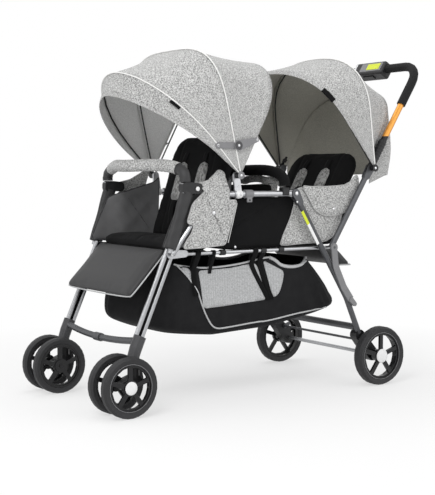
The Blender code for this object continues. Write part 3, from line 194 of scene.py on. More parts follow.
silver_tube = satin_metal("satin_anodised_aluminium", "#BEBFC1", "#9C9DA0", 0.34)
dress(
    silver_tube, "side_frame_left", "side_frame_right", "lower_rail_left", "lower_rail_right", "rear_axle"
)

# The rear legs, the lower handle tubes and the cross tubes: steel tube, powder coated in a
# dark metallic grey, with the orange-peel surface that the powder leaves.
grey_coat = satin_metal("dark_grey_powder_coat", "#5C5D60", "#46474A", 0.42, 0.45)
dress(
    grey_coat, "rear_leg_left", "rear_leg_right", "rear_cross_tube", "front_cross_bar", "brake_bar",
    "lower_handle_left", "lower_handle_right",
)

# The front legs: one aluminium extrusion each, of two round edges with a web between, whose sunk face is
# coloured near-black.


def dark_elsewhere(material, share, colour):
    """Keep a finish's own colour where the share is 1, and give it a darker one where it is 0."""
    shader = material.node_tree.nodes["Principled BSDF"]
    own = shader.inputs["Base Color"].links[0].from_socket
    tone = add_node(
        material.node_tree, "Mix", {0: share.outputs[0], 6: linear(colour), 7: own}, data_type="RGBA"
    )
    material.node_tree.links.new(tone.outputs[2], shader.inputs["Base Color"])


leg_metal = satin_metal("twin_tube_extrusion", "#BFC0C2", "#9FA0A3", 0.32)
tree = leg_metal.node_tree
along = Vector((0, -0.3985 + 0.300, 0.2190 - 0.445)).normalized()
across = Vector((0, along.z, -along.y))
place = add_node(tree, "TexCoord").outputs["Object"]
from_pivot = add_node(tree, "VectorMath", {0: place, 1: (0, -0.3640, 0.445)}, operation="SUBTRACT")
offset = add_node(
    tree, "VectorMath", {0: from_pivot.outputs[0], 1: tuple(across)}, operation="DOT_PRODUCT"
)
inside = add_node(tree, "Math", {0: offset.outputs["Value"]}, operation="ABSOLUTE")
groove = add_node(
    tree, "MapRange", {"Value": inside.outputs[0], "From Min": 0.0042, "From Max": 0.0050}, clamp=True
)
dark_elsewhere(leg_metal, groove, "#141415")
dress(leg_metal, "front_leg_left", "front_leg_right")

# The handle tube: aluminium, anodised a warm gold above the hood's clip and black below it.
handle_metal = satin_metal("gold_anodised_aluminium", "#E3A04A", "#CF8C3A", 0.30, 0.55)
tree = handle_metal.node_tree
place = add_node(tree, "TexCoord").outputs["Object"]
height = add_node(tree, "SeparateXYZ", {0: place}).outputs["Z"]
upper = add_node(tree, "MapRange", {"Value": height, "From Min": 0.7915, "From Max": 0.7920}, clamp=True)
dark_elsewhere(handle_metal, upper, "#1D1D1F")
dress(handle_metal, "handle_tube")

# Moulded plastics: ABS and nylon, black and mid grey, from a spark-eroded mould that leaves
# a fine even grain, and white for the caps and buttons.


def moulded_plastic(name, colour, shade, roughness, grain_scale=900, grain_depth=0.12):
    """Moulded plastic with a mould grain of about 1 mm and faint handling marks."""
    made, tree, shader = finish(name)
    shader.inputs["Specular IOR Level"].default_value = 0.35
    place = add_node(tree, "TexCoord").outputs["Object"]
    wear = add_node(tree, "TexNoise", {"Vector": place, "Scale": 45, "Detail": 4})
    tone = add_node(
        tree, "Mix", {0: wear.outputs[0], 6: linear(shade), 7: linear(colour)}, data_type="RGBA"
    )
    tree.links.new(tone.outputs[2], shader.inputs["Base Color"])
    rubbed = add_node(
        tree, "MapRange",
        {"Value": wear.outputs[0], "To Min": roughness - 0.05, "To Max": roughness + 0.07},
    )
    tree.links.new(rubbed.outputs[0], shader.inputs["Roughness"])
    grain = add_node(tree, "TexVoronoi", {"Vector": place, "Scale": grain_scale})
    bump = add_node(
        tree, "Bump", {"Height": grain.outputs["Distance"], "Strength": grain_depth, "Distance": 0.0002}
    )
    tree.links.new(bump.outputs[0], shader.inputs["Normal"])
    return made


black_plastic = moulded_plastic("black_nylon", "#202022", "#161617", 0.42)
dress(
    black_plastic, "caster_fork_left", "caster_fork_right", "axle_bracket_left", "axle_bracket_right",
    "fold_trigger", "handle_console", "front_hood_rear_bow", "front_hood_middle_bow",
    "front_hood_front_bow", "rear_hood_middle_bow", "rear_hood_front_bow",
)
grey_plastic = moulded_plastic("mid_grey_abs", "#868688", "#767678", 0.40)
dress(
    grey_plastic, "stay_front_link_left", "stay_front_link_right", "stay_rear_link_left",
    "stay_rear_link_right", "lock_plate_left", "lock_plate_right",
)
dark_grey_plastic = moulded_plastic("dark_grey_abs", "#4A4A4C", "#3C3C3E", 0.42)
dress(dark_grey_plastic, "front_sleeve_left", "front_sleeve_right")
white_plastic = moulded_plastic("white_abs", "#F2F2F2", "#E6E6E6", 0.28, 1200, 0.04)
dress(white_plastic, "bumper_button_left", "bumper_button_right")

# The wheels: glossy black spoked rims of glass-filled nylon and foamed EVA tyres, with a
# moulded line round each shoulder.
rim_plastic = moulded_plastic("glossy_black_nylon", "#1C1C1E", "#121213", 0.24, 1500, 0.05)
tyre_foam = moulded_plastic("foamed_eva", "#333335", "#262627", 0.62, 420, 0.35)
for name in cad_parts:
    if name.endswith("_tyre"):
        dress(tyre_foam, name)
    elif name.endswith("_rim"):
        dress(rim_plastic, name)

# The handle's grip: a slit foam tube pulled over the bend, closed cell and dead matt.
grip_foam = moulded_plastic("closed_cell_foam", "#1B1B1C", "#131314", 0.86, 520, 0.5)
dress(grip_foam, "handle_grip")

# The hoods' cloth: melange polyester canvas, light grey with darker fibres spun in. The real
# thread is 0.4 mm, and the flecks are drawn 2 mm by 6 mm so that they show at this distance.


def melange_cloth(name, light, dark, fleck=1.0, padded=False):
    """Light grey canvas with darker fibres along both threads; padded covers read the object's place."""
    made, tree, shader = finish(name)
    if padded:
        place = add_node(tree, "TexCoord").outputs["Object"]
    else:
        place = add_node(tree, "UVMap", uv_map="weave").outputs["UV"]
    warp = add_node(tree, "Mapping", {"Vector": place, "Scale": (430, 150, 1)})
    weft = add_node(tree, "Mapping", {"Vector": place, "Scale": (150, 430, 1)})
    first = add_node(tree, "TexNoise", {"Vector": warp.outputs[0], "Scale": 1, "Detail": 2})
    second = add_node(tree, "TexNoise", {"Vector": weft.outputs[0], "Scale": 1, "Detail": 2})
    soft = add_node(tree, "TexNoise", {"Vector": place, "Scale": 45, "Detail": 2})
    faint = add_node(tree, "Math", {0: soft.outputs[0], 1: 0.2}, operation="MULTIPLY")
    fibres = add_node(tree, "Math", {0: first.outputs[0], 1: second.outputs[0]}, operation="ADD")
    all_over = add_node(tree, "Math", {0: fibres.outputs[0], 1: faint.outputs[0]}, operation="ADD")
    spread = add_node(
        tree, "MapRange",
        {"Value": all_over.outputs[0], "From Min": 1.1 - 0.12 / fleck, "From Max": 1.1 + 0.12 / fleck},
        clamp=True,
    )
    tone = add_node(
        tree, "Mix", {0: spread.outputs[0], 6: linear(dark), 7: linear(light)}, data_type="RGBA"
    )
    tree.links.new(tone.outputs[2], shader.inputs["Base Color"])
    shader.inputs["Roughness"].default_value = 0.92
    shader.inputs["Sheen Weight"].default_value = 0.15
    shader.inputs["Sheen Roughness"].default_value = 0.5
    threads = add_node(tree, "Mapping", {"Vector": place, "Scale": (2600, 2600, 1)})
    ridges = add_node(tree, "TexWave", {"Vector": threads.outputs[0], "Scale": 0.32, "Distortion": 1.5})
    ribs = add_node(
        tree, "TexWave", {"Vector": threads.outputs[0], "Scale": 0.32, "Distortion": 1.5}, bands_direction="Y"
    )
    weave = add_node(tree, "Math", {0: ridges.outputs["Fac"], 1: ribs.outputs["Fac"]}, operation="MULTIPLY")
    both = add_node(tree, "Math", {0: weave.outputs[0], 1: all_over.outputs[0]}, operation="ADD")
    bump = add_node(tree, "Bump", {"Height": both.outputs[0], "Strength": 0.25, "Distance": 0.0006})
    tree.links.new(bump.outputs[0], shader.inputs["Normal"])
    return made


def fixed(piece, body):
    """The piece rides on a body."""
    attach(piece, body)
    return piece


def walled(piece, wall):
    """Give a sheet its thickness, half to each side."""
    thick = piece.modifiers.new("wall", "SOLIDIFY")
    thick.thickness = wall
    thick.offset = 0
    return piece


def cloth_piece(name, columns, rows, size, place, material, wall=0.0016, close=False):
    """A sheet from a flat grid: every point is moved to its place, and the weave stays in metres."""
    shape = bmesh.new()
    bmesh.ops.create_grid(shape, x_segments=columns, y_segments=rows, size=0.5)
    weave = shape.loops.layers.uv.new("weave")
    for face in shape.faces:
        for corner in face.loops:
            u, v = corner.vert.co.x + 0.5, corner.vert.co.y + 0.5
            corner[weave].uv = (u * size[0], v * size[1])
    for point in shape.verts:
        point.co = place(point.co.x + 0.5, point.co.y + 0.5)
    if close:
        bmesh.ops.remove_doubles(shape, verts=shape.verts, dist=0.0001)
    for face in shape.faces:
        face.smooth = True
    piece = modelled(name, shape, material)
    return walled(piece, wall) if wall else piece


def bow_line(pivot, half, ring, start, count, grow=0.0):
    """Evenly spaced points over one bow, from its left foot to its right foot. A ring is the
    bow's lean in degrees, the length of its straight legs, its height, and how square it is."""
    angle, straight, height, square = ring
    turns = np.linspace(0, math.pi / 2, 90)
    x = np.concatenate([[half], half * np.cos(turns) ** (2 / square)])
    r = np.concatenate([[start], straight + (height + grow - straight) * np.sin(turns) ** (2 / square)])
    x = np.concatenate([x, -x[-2::-1]])
    r = np.concatenate([r, r[-2::-1]])
    run = np.concatenate([[0], np.cumsum(np.hypot(np.diff(x), np.diff(r)))])
    even = np.linspace(0, run[-1], count)
    x, r = np.interp(even, run, x), np.interp(even, run, r)
    lean = math.radians(angle)
    return [Vector((a, pivot[1] + b * math.cos(lean), pivot[2] + b * math.sin(lean))) for a, b in zip(x, r)]


melange = melange_cloth("melange_canvas", "#D2D2D1", "#7E7E7D")
# Painted light and shade in the linings: both colours are lightened to stand in for light that comes through
# the thin cloth and bounces inside the hoods, and the rear lining is a darker copy whose colour is painted
# shade for the deeper shade inside the rear hood.
hood_lining = {
    "front": melange_cloth("front_hood_lining", "#ECECEB", "#CFCFCE", 0.6),
    "rear": melange_cloth("rear_hood_lining", "#BCBAB0", "#A3A198", 0.6),
}

# A bow's foot starts this far from its pivot; half its width; the cloth's lift over its crown.
bow_foot, bow_half, cloth_over_bow = 0.012, 0.2523, 0.0067


def lined(piece):
    """Give a piece of a hood the lining of that hood as its inner face; the lining's colour holds painted
    light and shade.
    """
    piece.data.materials.append(hood_lining[piece.name.split("_")[0]])
    piece.modifiers["wall"].material_offset = 1


def hood_panel(name, pivot, first, second, body_a, body_b, sag, halves=(bow_half, bow_half)):
    """Cloth drawn tight between two bows, hollow between them and gathered near the pivots, with
    the hood's lining as its inner face."""
    columns, rows = 96, 12
    cut_width, cut_share = 1.1, 0.75
    one = bow_line(pivot, halves[0], first, bow_foot, columns + 1, cloth_over_bow)
    two = bow_line(pivot, halves[1], second, bow_foot, columns + 1, cloth_over_bow)

    def place(u, v):
        index = min(int(u * columns + 0.5), columns)
        point = one[index].lerp(two[index], v)
        inward = (Vector((0, pivot[1], pivot[2] + 0.1)) - point).normalized()
        reach = (point - Vector((point.x, pivot[1], pivot[2]))).length
        depth = sag * math.sin(math.pi * v) * min(1, reach / 0.25)
        crease = 0.0009 * math.sin(9 * math.pi * v + 3 * u) * max(0, 1 - reach / 0.20)
        return point + inward * (depth + crease)

    span = (one[columns // 2] - two[columns // 2]).length
    piece = cloth_piece(name, columns, rows, (cut_width, max(span, 0.02)), place, melange)
    lined(piece)
    if body_a == body_b:
        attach(piece, body_a)
    else:
        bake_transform(piece)
    [f"{label}_bow" for label in dict.fromkeys((body_a, body_b)) if label != "frame"]
    return piece


def round_cord(name, points, radius, material, body, sides=2, cyclic=False):
    """Piping, wire or webbing edge: a round line through points."""
    curve = bpy.data.curves.new(name, "CURVE")
    curve.dimensions = "3D"
    curve.bevel_depth = radius
    curve.bevel_resolution = sides
    curve.use_fill_caps = True
    line = curve.splines.new("POLY")
    line.points.add(len(points) - 1)
    line.use_cyclic_u = cyclic
    line.use_smooth = True
    for point, spot in zip(line.points, points):
        point.co = (*spot, 1)
    curve.materials.append(material)
    return fixed(linked(name, curve), body)


front_pivot = (0, -0.1430, 0.668)
front_rear_ring = (62.0, 0.190, 0.392, 2.0)
front_middle_ring = (103.0, 0.162, 0.376, 3.4)
front_front_ring = (133.0, 0.130, 0.402, 1.9)
front_rim_ring = (141.0, 0.110, 0.380, 1.65)
panel = hood_panel(
    "front_hood_back_panel", front_pivot, front_rear_ring, front_middle_ring, "frame", "front_hood_middle",
    0.004,
)
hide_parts("front_hood_fabric")
hood_panel(
    "front_hood_top_panel", front_pivot, front_middle_ring, front_front_ring,
    "front_hood_middle", "front_hood_front", 0.005,
)
hood_panel(
    "front_hood_visor", front_pivot, front_front_ring, front_rim_ring, "front_hood_front",
    "front_hood_front", 0.002,
)
front_hem_ring = (142.6, 0.110, 0.375, 1.65)
hood_panel(
    "front_hood_hem", front_pivot, front_rim_ring, front_hem_ring, "front_hood_front", "front_hood_front", 0.0
)
# Half the width of a bow with its cloth, where piping and tabs are sewn.
bow_cover = 0.2538


def hood_piping(name, pivot, ring, body):
    """White piping sewn over a bow, just outside the cloth."""
    line = bow_line(pivot, bow_cover, ring, bow_foot, 91, 0.0087)
    round_cord(name, line, 0.0019, white_piping, body)


white_piping = moulded_plastic("white_piping", "#F4F4F2", "#E8E8E6", 0.5, 700, 0.2)
hood_piping("front_hood_middle_piping", front_pivot, front_middle_ring, "front_hood_middle")
hood_piping("front_hood_front_piping", front_pivot, front_front_ring, "front_hood_front")

rear_pivot = (0, 0.3753, 0.690)
rear_bow_half = 0.2120
rear_rear_ring = (61.5, 0.155, 0.292, 2.2)
rear_middle_ring = (97.0, 0.170, 0.352, 2.5)
rear_front_ring = (128.0, 0.190, 0.384, 2.5)
panel = hood_panel(
    "rear_hood_back_panel", rear_pivot, rear_rear_ring, rear_middle_ring, "frame", "rear_hood_middle", 0.006,
    halves=(rear_bow_half, bow_half),
)
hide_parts("rear_hood_fabric")
hood_panel(
    "rear_hood_top_panel", rear_pivot, rear_middle_ring, rear_front_ring, "rear_hood_middle",
    "rear_hood_front", 0.004,
)
hood_panel(
    "rear_hood_hem", rear_pivot, rear_front_ring, (129.6, 0.190, 0.380, 2.5), "rear_hood_front",
    "rear_hood_front", 0.0,
)

# The hood's drop: the same cloth, sewn to the rear bow all round and hanging free at its foot,
# which runs back along the seat's side, round a corner and across behind the backrest.
drop_steps = 240
drop_top = bow_line(rear_pivot, rear_bow_half, rear_rear_ring, 0.020, drop_steps + 1, 0.0055)
corner_x, corner_y, corner_radius = 0.1775, 0.0817, 0.030
drop_foot = [(corner_x + corner_radius, 0.0157, 0.641)]
for index in range(13):
    turn = math.radians(7.5 * index)
    across, back = corner_radius * math.cos(turn), corner_radius * math.sin(turn)
    drop_foot.append((corner_x + across, corner_y + back, 0.666 + 0.006 * index / 12))
drop_foot = np.array(drop_foot + [(0.0, 0.1147, 0.668)] + [(-x, y, z) for x, y, z in drop_foot[::-1]])
drop_run = np.concatenate([[0], np.cumsum(np.linalg.norm(np.diff(drop_foot, axis=0), axis=1))])


def rear_drop(u, v):
    """The cloth that closes the hood behind, from the rear bow down and round the backrest."""
    u = 1 - u
    top = drop_top[min(drop_steps, int(drop_steps * u + 0.5))]
    x, y, z = (float(np.interp(u * drop_run[-1], drop_run, drop_foot[:, axis])) for axis in range(3))
    foot = Vector((x, rear_pivot[1] + y, z))
    hollow = Vector((0.006 * math.tanh(9 * (1 - 2 * u)), 0.010 * (1 - (2 * u - 1) ** 6), 0))
    hollow *= math.sin(math.pi * v)
    return top.lerp(foot, v) + hollow * (1 + 0.25 * math.sin(31 * u + 5 * v))


piece = cloth_piece("rear_hood_drop", 90, 30, (0.62, 0.29), rear_drop, melange)
lined(piece)
fixed(piece, "frame")
hood_piping("rear_hood_middle_piping", rear_pivot, rear_middle_ring, "rear_hood_middle")

# The stays and the hoods' pivots: grey moulded links that lock the hood open at their knee,
# with a round cap over the knee and a domed bright rivet at each pin.


def finished_piece(name, shape, material, body, smooth=True):
    """A modelled piece from its finished shape, riding on its body."""
    for face in shape.faces:
        face.smooth = smooth
    return fixed(modelled(name, shape, material), body)


def toward(axis):
    """The turn that takes the upward direction to the axis."""
    return Vector((0, 0, 1)).rotation_difference(Vector(axis)).to_matrix().to_4x4()


def cap(name, centre, axis, radius, height, material, body):
    """A domed cap or rivet: a flattened ball whose middle lies on the surface it sits on."""
    shape = bmesh.new()
    bmesh.ops.create_uvsphere(shape, u_segments=28, v_segments=14, radius=1)
    place = Matrix.Translation(centre) @ toward(axis) @ Matrix.Diagonal((radius, radius, height, 1))
    bmesh.ops.transform(shape, matrix=place, verts=shape.verts)
    return finished_piece(name, shape, material, body)


def disc(name, centre, axis, radius, height, material, body, edge=0.0006):
    """A flat round plate with a softened edge, its underside on the surface it sits on."""
    shape = bmesh.new()
    bmesh.ops.create_cone(shape, cap_ends=True, segments=40, radius1=radius, radius2=radius, depth=height)
    rims = [e for e in shape.edges if abs(e.verts[0].co.z - e.verts[1].co.z) < 1e-6]
    bmesh.ops.bevel(shape, geom=rims, offset=edge, segments=2, affect="EDGES", profile=0.5, material=-1)
    place = Matrix.Translation(Vector(centre) + Vector(axis).normalized() * height / 2) @ toward(axis)
    bmesh.ops.transform(shape, matrix=place, verts=shape.verts)
    return finished_piece(name, shape, material, body, False)


def block(name, place, size, material, body, edge=0.001):
    """A box with softened edges, put in place by a matrix."""
    shape = bmesh.new()
    bmesh.ops.create_cube(shape, size=1)
    bmesh.ops.transform(shape, matrix=Matrix.Diagonal((*size, 1)), verts=shape.verts)
    bmesh.ops.bevel(
        shape, geom=shape.edges[:], offset=edge, segments=2, affect="EDGES", profile=0.5, material=-1
    )
    bmesh.ops.transform(shape, matrix=place, verts=shape.verts)
    return finished_piece(name, shape, material, body, False)


bright_steel = satin_metal("nickelled_steel", "#DCDDDE", "#BFC0C2", 0.26)
sides = (("left", 1), ("right", -1))
for side_name, side in sides:
    out = (side, 0, 0)
    rear_pin = (side * 0.2593, front_pivot[1] + 0.0552, front_pivot[2] + 0.1037)
    front_pin = (side * 0.2560, front_pivot[1] - 0.0801, front_pivot[2] + 0.0859)
    knee = (side * 0.2590, front_pivot[1] - 0.01135, front_pivot[2] + 0.0862)
    cap(f"stay_rear_rivet_{side_name}", rear_pin, out, 0.0042, 0.0016, bright_steel, "frame")
    cap(f"stay_front_rivet_{side_name}", front_pin, out, 0.0042, 0.0016, bright_steel, "front_hood_front")
    disc(
        f"stay_knee_cap_{side_name}", knee, out, 0.0125, 0.0018, dark_grey_plastic,
        f"stay_rear_{side_name}",
    )
    cap(
        f"stay_knee_rivet_{side_name}", Vector(knee) + Vector(out) * 0.0018, out, 0.0040, 0.0012,
        bright_steel, f"stay_rear_{side_name}",
    )
    for label, pivot in (("front", front_pivot), ("rear", rear_pivot)):
        hub = (side * 0.2545, pivot[1], pivot[2])
        boss = grey_plastic if label == "front" else black_plastic
        disc(f"{label}_hood_pivot_{side_name}", hub, out, 0.0115, 0.0020, boss, "frame")
        cap(
            f"{label}_hood_pivot_rivet_{side_name}", Vector(hub) + Vector(out) * 0.002, out, 0.0042, 0.0012,
            bright_steel, "frame",
        )

# The wheels' white hub caps, and a thin grey ring where each rim meets its tyre, whose colour is a painted
# highlight along the rim's edge.
rim_highlight = moulded_plastic("polished_rim_edge", "#8E8E90", "#7A7A7C", 0.18, 1500, 0.02)
for label, node, radius, ring in (
    ("front", "front_{}_outer", 0.0190, 0.0662), ("rear", "rear_{}", 0.0224, 0.0742)
):
    for side_name, side in sides:
        low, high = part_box(node.format(side_name) + "_rim")
        face = high[0] if side > 0 else low[0]
        centre = Vector((face, (low[1] + high[1]) / 2, (low[2] + high[2]) / 2))
        body = f"front_wheel_{side_name}_outer" if label == "front" else f"rear_wheel_{side_name}"
        cap(f"{label}_hub_cap_{side_name}", centre, (side, 0, 0), radius, 0.0040, white_plastic, body)
        turns = [2 * math.pi * i / 72 for i in range(72)]
        ring_line = [centre + Vector((-side * 0.0005, ring * math.cos(a), ring * math.sin(a))) for a in turns]
        round_cord(f"{label}_rim_edge_{side_name}", ring_line, 0.0009, rim_highlight, body, 2, True)

# The console's face: a lime cap in a grey bed, and a bright band beside it, all laid in its
# sloping upper side.


def turned(*axes):
    """The turn whose columns are three directions."""
    return Matrix(axes).transposed().to_4x4()


slope = math.radians(57.1)
console_up = Vector((0, math.cos(slope), math.sin(slope)))
console_out = Vector((0, -math.sin(slope), math.cos(slope)))
console_turn = turned((1, 0, 0), console_up, console_out)
console_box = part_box("handle_console")
console_top = (Vector(console_box[0]) + Vector(console_box[1])) / 2 + console_out * 0.0212
lime_plastic = moulded_plastic("lime_abs", "#DDE83A", "#CBD62C", 0.34, 1200, 0.05)
for label, x, y, size, material in (
    ("console_cap", 0.0230, 0.0030, (0.062, 0.0235, 0.0030), lime_plastic),
    ("console_bed", 0.0120, 0.0020, (0.104, 0.0330, 0.0012), grey_plastic),
    ("console_band", -0.0680, 0.0000, (0.008, 0.0440, 0.0020), bright_steel),
):
    place = Matrix.Translation(console_top + Vector((x, 0, 0)) + console_up * y) @ console_turn
    block(label, place, size, material, "handle", min(size) * 0.3)

# The seat covers: melange canvas outside, black padded polyester inside and dark leatherette
# at the front seat's sides, cut, sewn and bound at the edges. Places are given from the middle
# of the wheelbase, as in the CAD source.
middle_y = (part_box("rear_left_tyre")[0][1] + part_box("rear_left_tyre")[1][1]) / 2 - 0.455


def at(x, y, z):
    """A place across, along from the middle of the wheelbase, and up."""
    return Vector((x, y + middle_y, z))


def eased(points, rounds=2, closed=True, reach=1.0):
    """A line whose corners are cut off, by a quarter of each run or by the reach, so that they round."""
    points = [Vector(point) for point in points]
    for turn in range(rounds):
        after = points[1:] + points[:1] if closed else points[1:]
        cut = []
        for first, second in zip(points, after):
            share = min(0.25, reach / 2**turn / max((second - first).length, 1e-6))
            cut += [first.lerp(second, share), first.lerp(second, 1 - share)]
        points = cut if closed else [points[0], *cut[1:-1], points[-1]]
    return points


def laid(piece, body, held, *rests_on):
    """A sheet rides on its body, and its flat area is summed from its faces."""
    fixed(piece, body)
    shape = bmesh.new()
    shape.from_mesh(piece.data)
    area = sum(face.calc_area() for face in shape.faces)
    shape.free()


def sewn_panel(name, outline, shape_at, material, rests_on, held="stretched", wall=0.002, spacing=0.011):
    """Cloth cut to an outline drawn in the side view; shape_at moves each point to its place."""
    shape = bmesh.new()
    shape.faces.new([shape.verts.new((0, *point)) for point in outline])
    bmesh.ops.triangulate(shape, faces=shape.faces[:])
    for axis in (0, 1):
        low, high = min(p[axis] for p in outline), max(p[axis] for p in outline)
        for step in range(1, int((high - low) / spacing) + 1):
            spot, across = Vector((0, 0, 0)), Vector((0, 0, 0))
            spot[axis + 1], across[axis + 1] = low + step * spacing, 1
            bmesh.ops.bisect_plane(
                shape, geom=shape.verts[:] + shape.edges[:] + shape.faces[:], plane_co=spot, plane_no=across
            )
    weave = shape.loops.layers.uv.new("weave")
    for face in shape.faces:
        face.smooth = True
        for corner in face.loops:
            corner[weave].uv = (corner.vert.co.y, corner.vert.co.z)
    ring = [Vector(point) for point in outline]
    for point in shape.verts:
        spot = Vector((point.co.y, point.co.z))
        inside = 1.0
        for first, second in zip(ring, ring[1:] + ring[:1]):
            run = second - first
            share = max(0, min(1, (spot - first).dot(run) / max(run.length_squared, 1e-12)))
            inside = min(inside, (spot - first - run * share).length)
        point.co = shape_at(spot.x, spot.y, inside)
    laid(walled(modelled(name, shape, material), wall), "frame", held, *rests_on)


def binding(name, outline, shape_at, radius, material):
    """The bound edge of a sewn panel: a round cord along its outline."""
    edge = [shape_at(point.x, point.y, 0) for point in outline]
    round_cord(name, edge, radius, material, "frame", 1, True)


def woven_black(name, colour, shade, scale):
    """Black cloth with a plain weave, read from the object's own place."""
    made, tree, shader = finish(name)
    place = add_node(tree, "TexCoord").outputs["Object"]
    tone = add_node(tree, "TexNoise", {"Vector": place, "Scale": 38, "Detail": 5})
    mixed = add_node(tree, "Mix", {0: tone.outputs[0], 6: linear(shade), 7: linear(colour)}, data_type="RGBA")
    tree.links.new(mixed.outputs[2], shader.inputs["Base Color"])
    shader.inputs["Roughness"].default_value = 0.88
    shader.inputs["Specular IOR Level"].default_value = 0.14
    shader.inputs["Sheen Weight"].default_value = 0.02
    shader.inputs["Sheen Roughness"].default_value = 0.45
    threads = add_node(tree, "TexVoronoi", {"Vector": place, "Scale": scale}, distance="CHEBYCHEV")
    bump = add_node(
        tree, "Bump", {"Height": threads.outputs["Distance"], "Strength": 0.35, "Distance": 0.0005}
    )
    tree.links.new(bump.outputs[0], shader.inputs["Normal"])
    return made


black_cloth = woven_black("black_polyester", "#161617", "#0E0E0F", 620)
webbing_cloth = woven_black("black_webbing", "#141415", "#0C0C0D", 900)


def grained_leather(name, colour, shade):
    """Coated cloth: a soft sheen over pebbles 1.5 mm across, with faint rubbed patches."""
    made, tree, shader = finish(name)
    place = add_node(tree, "TexCoord").outputs["Object"]
    patch = add_node(tree, "TexNoise", {"Vector": place, "Scale": 14, "Detail": 4})
    mixed = add_node(
        tree, "Mix", {0: patch.outputs[0], 6: linear(shade), 7: linear(colour)}, data_type="RGBA"
    )
    tree.links.new(mixed.outputs[2], shader.inputs["Base Color"])
    shader.inputs["Specular IOR Level"].default_value = 0.32
    worn = add_node(tree, "MapRange", {"Value": patch.outputs[0], "To Min": 0.42, "To Max": 0.58})
    tree.links.new(worn.outputs[0], shader.inputs["Roughness"])
    pebbles = add_node(tree, "TexVoronoi", {"Vector": place, "Scale": 640}, feature="SMOOTH_F1")
    folds = add_node(tree, "TexNoise", {"Vector": place, "Scale": 30, "Detail": 2})
    both = add_node(tree, "Math", {0: folds.outputs[0], 1: pebbles.outputs["Distance"]}, operation="ADD")
    bump = add_node(tree, "Bump", {"Height": both.outputs[0], "Strength": 0.22, "Distance": 0.0008})
    tree.links.new(bump.outputs[0], shader.inputs["Normal"])
    return made


leather = grained_leather("dark_leatherette", "#3A3A3B", "#2C2C2D")
# The front seat's lining is the same leatherette made lighter: its colour is painted light, to make up for
# the shade it sits in inside the seat's sides.
lit_lining_leather = grained_leather("lining_leatherette", "#7C7C7D", "#5A5A5B")

# The node that a body's webbing lies on.
body_nodes = {
    "frame": "side_frame_left", "front_backrest": "front_backrest", "rear_backrest": "rear_backrest",
    "front_hood_front": "front_hood_visor", "rear_hood_front": "rear_hood_top_panel",
}


def ribbon(name, points, half, material, body, across=(1, 0, 0), wall=0.0018):
    """Flat webbing along a line of points, half as wide to each side in the direction given."""
    line = eased(points, 2, closed=False)
    count = len(line) - 1
    length = sum((b - a).length for a, b in zip(line, line[1:]))
    side = Vector(across).normalized()

    def place(u, v):
        index = min(int(v * count + 0.5), count)
        return line[index] + side * half * (2 * u - 1)

    piece = cloth_piece(name, 4, count, (2 * half, length), place, material, wall)
    laid(piece, body, "stretched", body_nodes[body])


# The hoods' woven tabs: a short piece of plain black webbing sewn over each front edge, a
# little to one side of its middle.
for label, pivot, ring, middle, half, reach in (
    ("front", front_pivot, (134.2, 0.1275, 0.3995, 1.86), 47, 0.0052, 3),
    ("rear", rear_pivot, (128.6, 0.190, 0.3830, 2.5), 45, 0.0090, 4),
):
    line = bow_line(pivot, bow_cover, ring, bow_foot, 181, 0.0095)[middle - reach:middle + reach + 1]
    lean = math.radians(ring[0])
    ribbon(
        f"{label}_hood_tab", line, half, webbing_cloth, f"{label}_hood_front",
        (0, -math.sin(lean), math.cos(lean)), 0.0012,
    )


def stuffed(name, half, length, thick, frame_at, material, body, far_round=0.02, most=0.009, seams=()):
    """A sewn cover over soft filling. A rounded slab is blown up by cloth simulation, its seams
    are drawn in afterwards, and frame_at puts it in place: across, along and out of its face."""
    before_filling, shoulder_width, crown = 0.72, 0.05, 0.004
    shape = bmesh.new()
    bmesh.ops.create_cube(shape, size=1)
    for point in shape.verts:
        x, y, z = point.co
        point.co = Vector((x * 2 * half, (y + 0.5) * length, z * thick * before_filling))
    near = [
        e for e in shape.edges
        if abs(e.verts[0].co.z - e.verts[1].co.z) > thick * 0.5 and e.verts[0].co.y < length / 2
    ]
    bmesh.ops.bevel(shape, geom=near, offset=0.014, segments=4, affect="EDGES", profile=0.5, material=-1)
    far = [
        e for e in shape.edges
        if abs(e.verts[0].co.z - e.verts[1].co.z) > thick * 0.5
        and min(v.co.y for v in e.verts) > length - 1e-5
    ]
    bmesh.ops.bevel(shape, geom=far, offset=far_round, segments=8, affect="EDGES", profile=0.5, material=-1)
    piece = modelled(name, shape)
    even = piece.modifiers.new("even", "REMESH")
    even.mode = "VOXEL"
    even.voxel_size = 0.006

    def settle():
        bpy.context.view_layer.update()
        graph = bpy.context.evaluated_depsgraph_get()
        made = bpy.data.meshes.new_from_object(piece.evaluated_get(graph))
        piece.modifiers.clear()
        piece.data = made

    settle()
    start = [point.co.copy() for point in piece.data.vertices]
    cover = piece.modifiers.new("filling", "CLOTH")
    cover.settings.use_pressure = True
    cover.settings.uniform_pressure_force = 4
    cover.settings.effector_weights.gravity = 0
    cover.settings.quality = 4
    for step in range(1, 21):
        bpy.context.scene.frame_set(step)
    settle()
    bpy.context.scene.frame_set(1)
    for point, before in zip(piece.data.vertices, start):
        moved = point.co - before
        if moved.length > most:
            point.co = before + moved * (most / moved.length)
    for point in piece.data.vertices:
        x, y, z = point.co
        edge = min(1, min(half - abs(x), y, length - y) / shoulder_width)
        if z > 0:
            z += crown * max(0, edge)
            for kind, value, width, depth in seams:
                gap = (x - value) if kind == "x" else (y - value)
                z -= depth * math.exp(-((gap / width) ** 2)) * max(0.0, min(1, edge * 3))
        point.co = frame_at @ Vector((x, y, z))
    for face in piece.data.polygons:
        face.use_smooth = True
    piece.data.materials.clear()
    piece.data.materials.append(material)
    finer = piece.modifiers.new("finer", "SUBSURF")
    finer.levels = 1
    finer.render_levels = 1
    fixed(piece, body)
    return piece


def sloped_frame(foot_y, foot_z, angle):
    """Across, up the slope and out of the face, for a pad that leans back by the angle."""
    lean = math.radians(angle)
    up = Vector((0, math.sin(lean), math.cos(lean)))
    out = Vector((0, -math.cos(lean), math.sin(lean)))
    return Matrix.Translation(at(0, foot_y, foot_z)) @ turned((1, 0, 0), up, out)


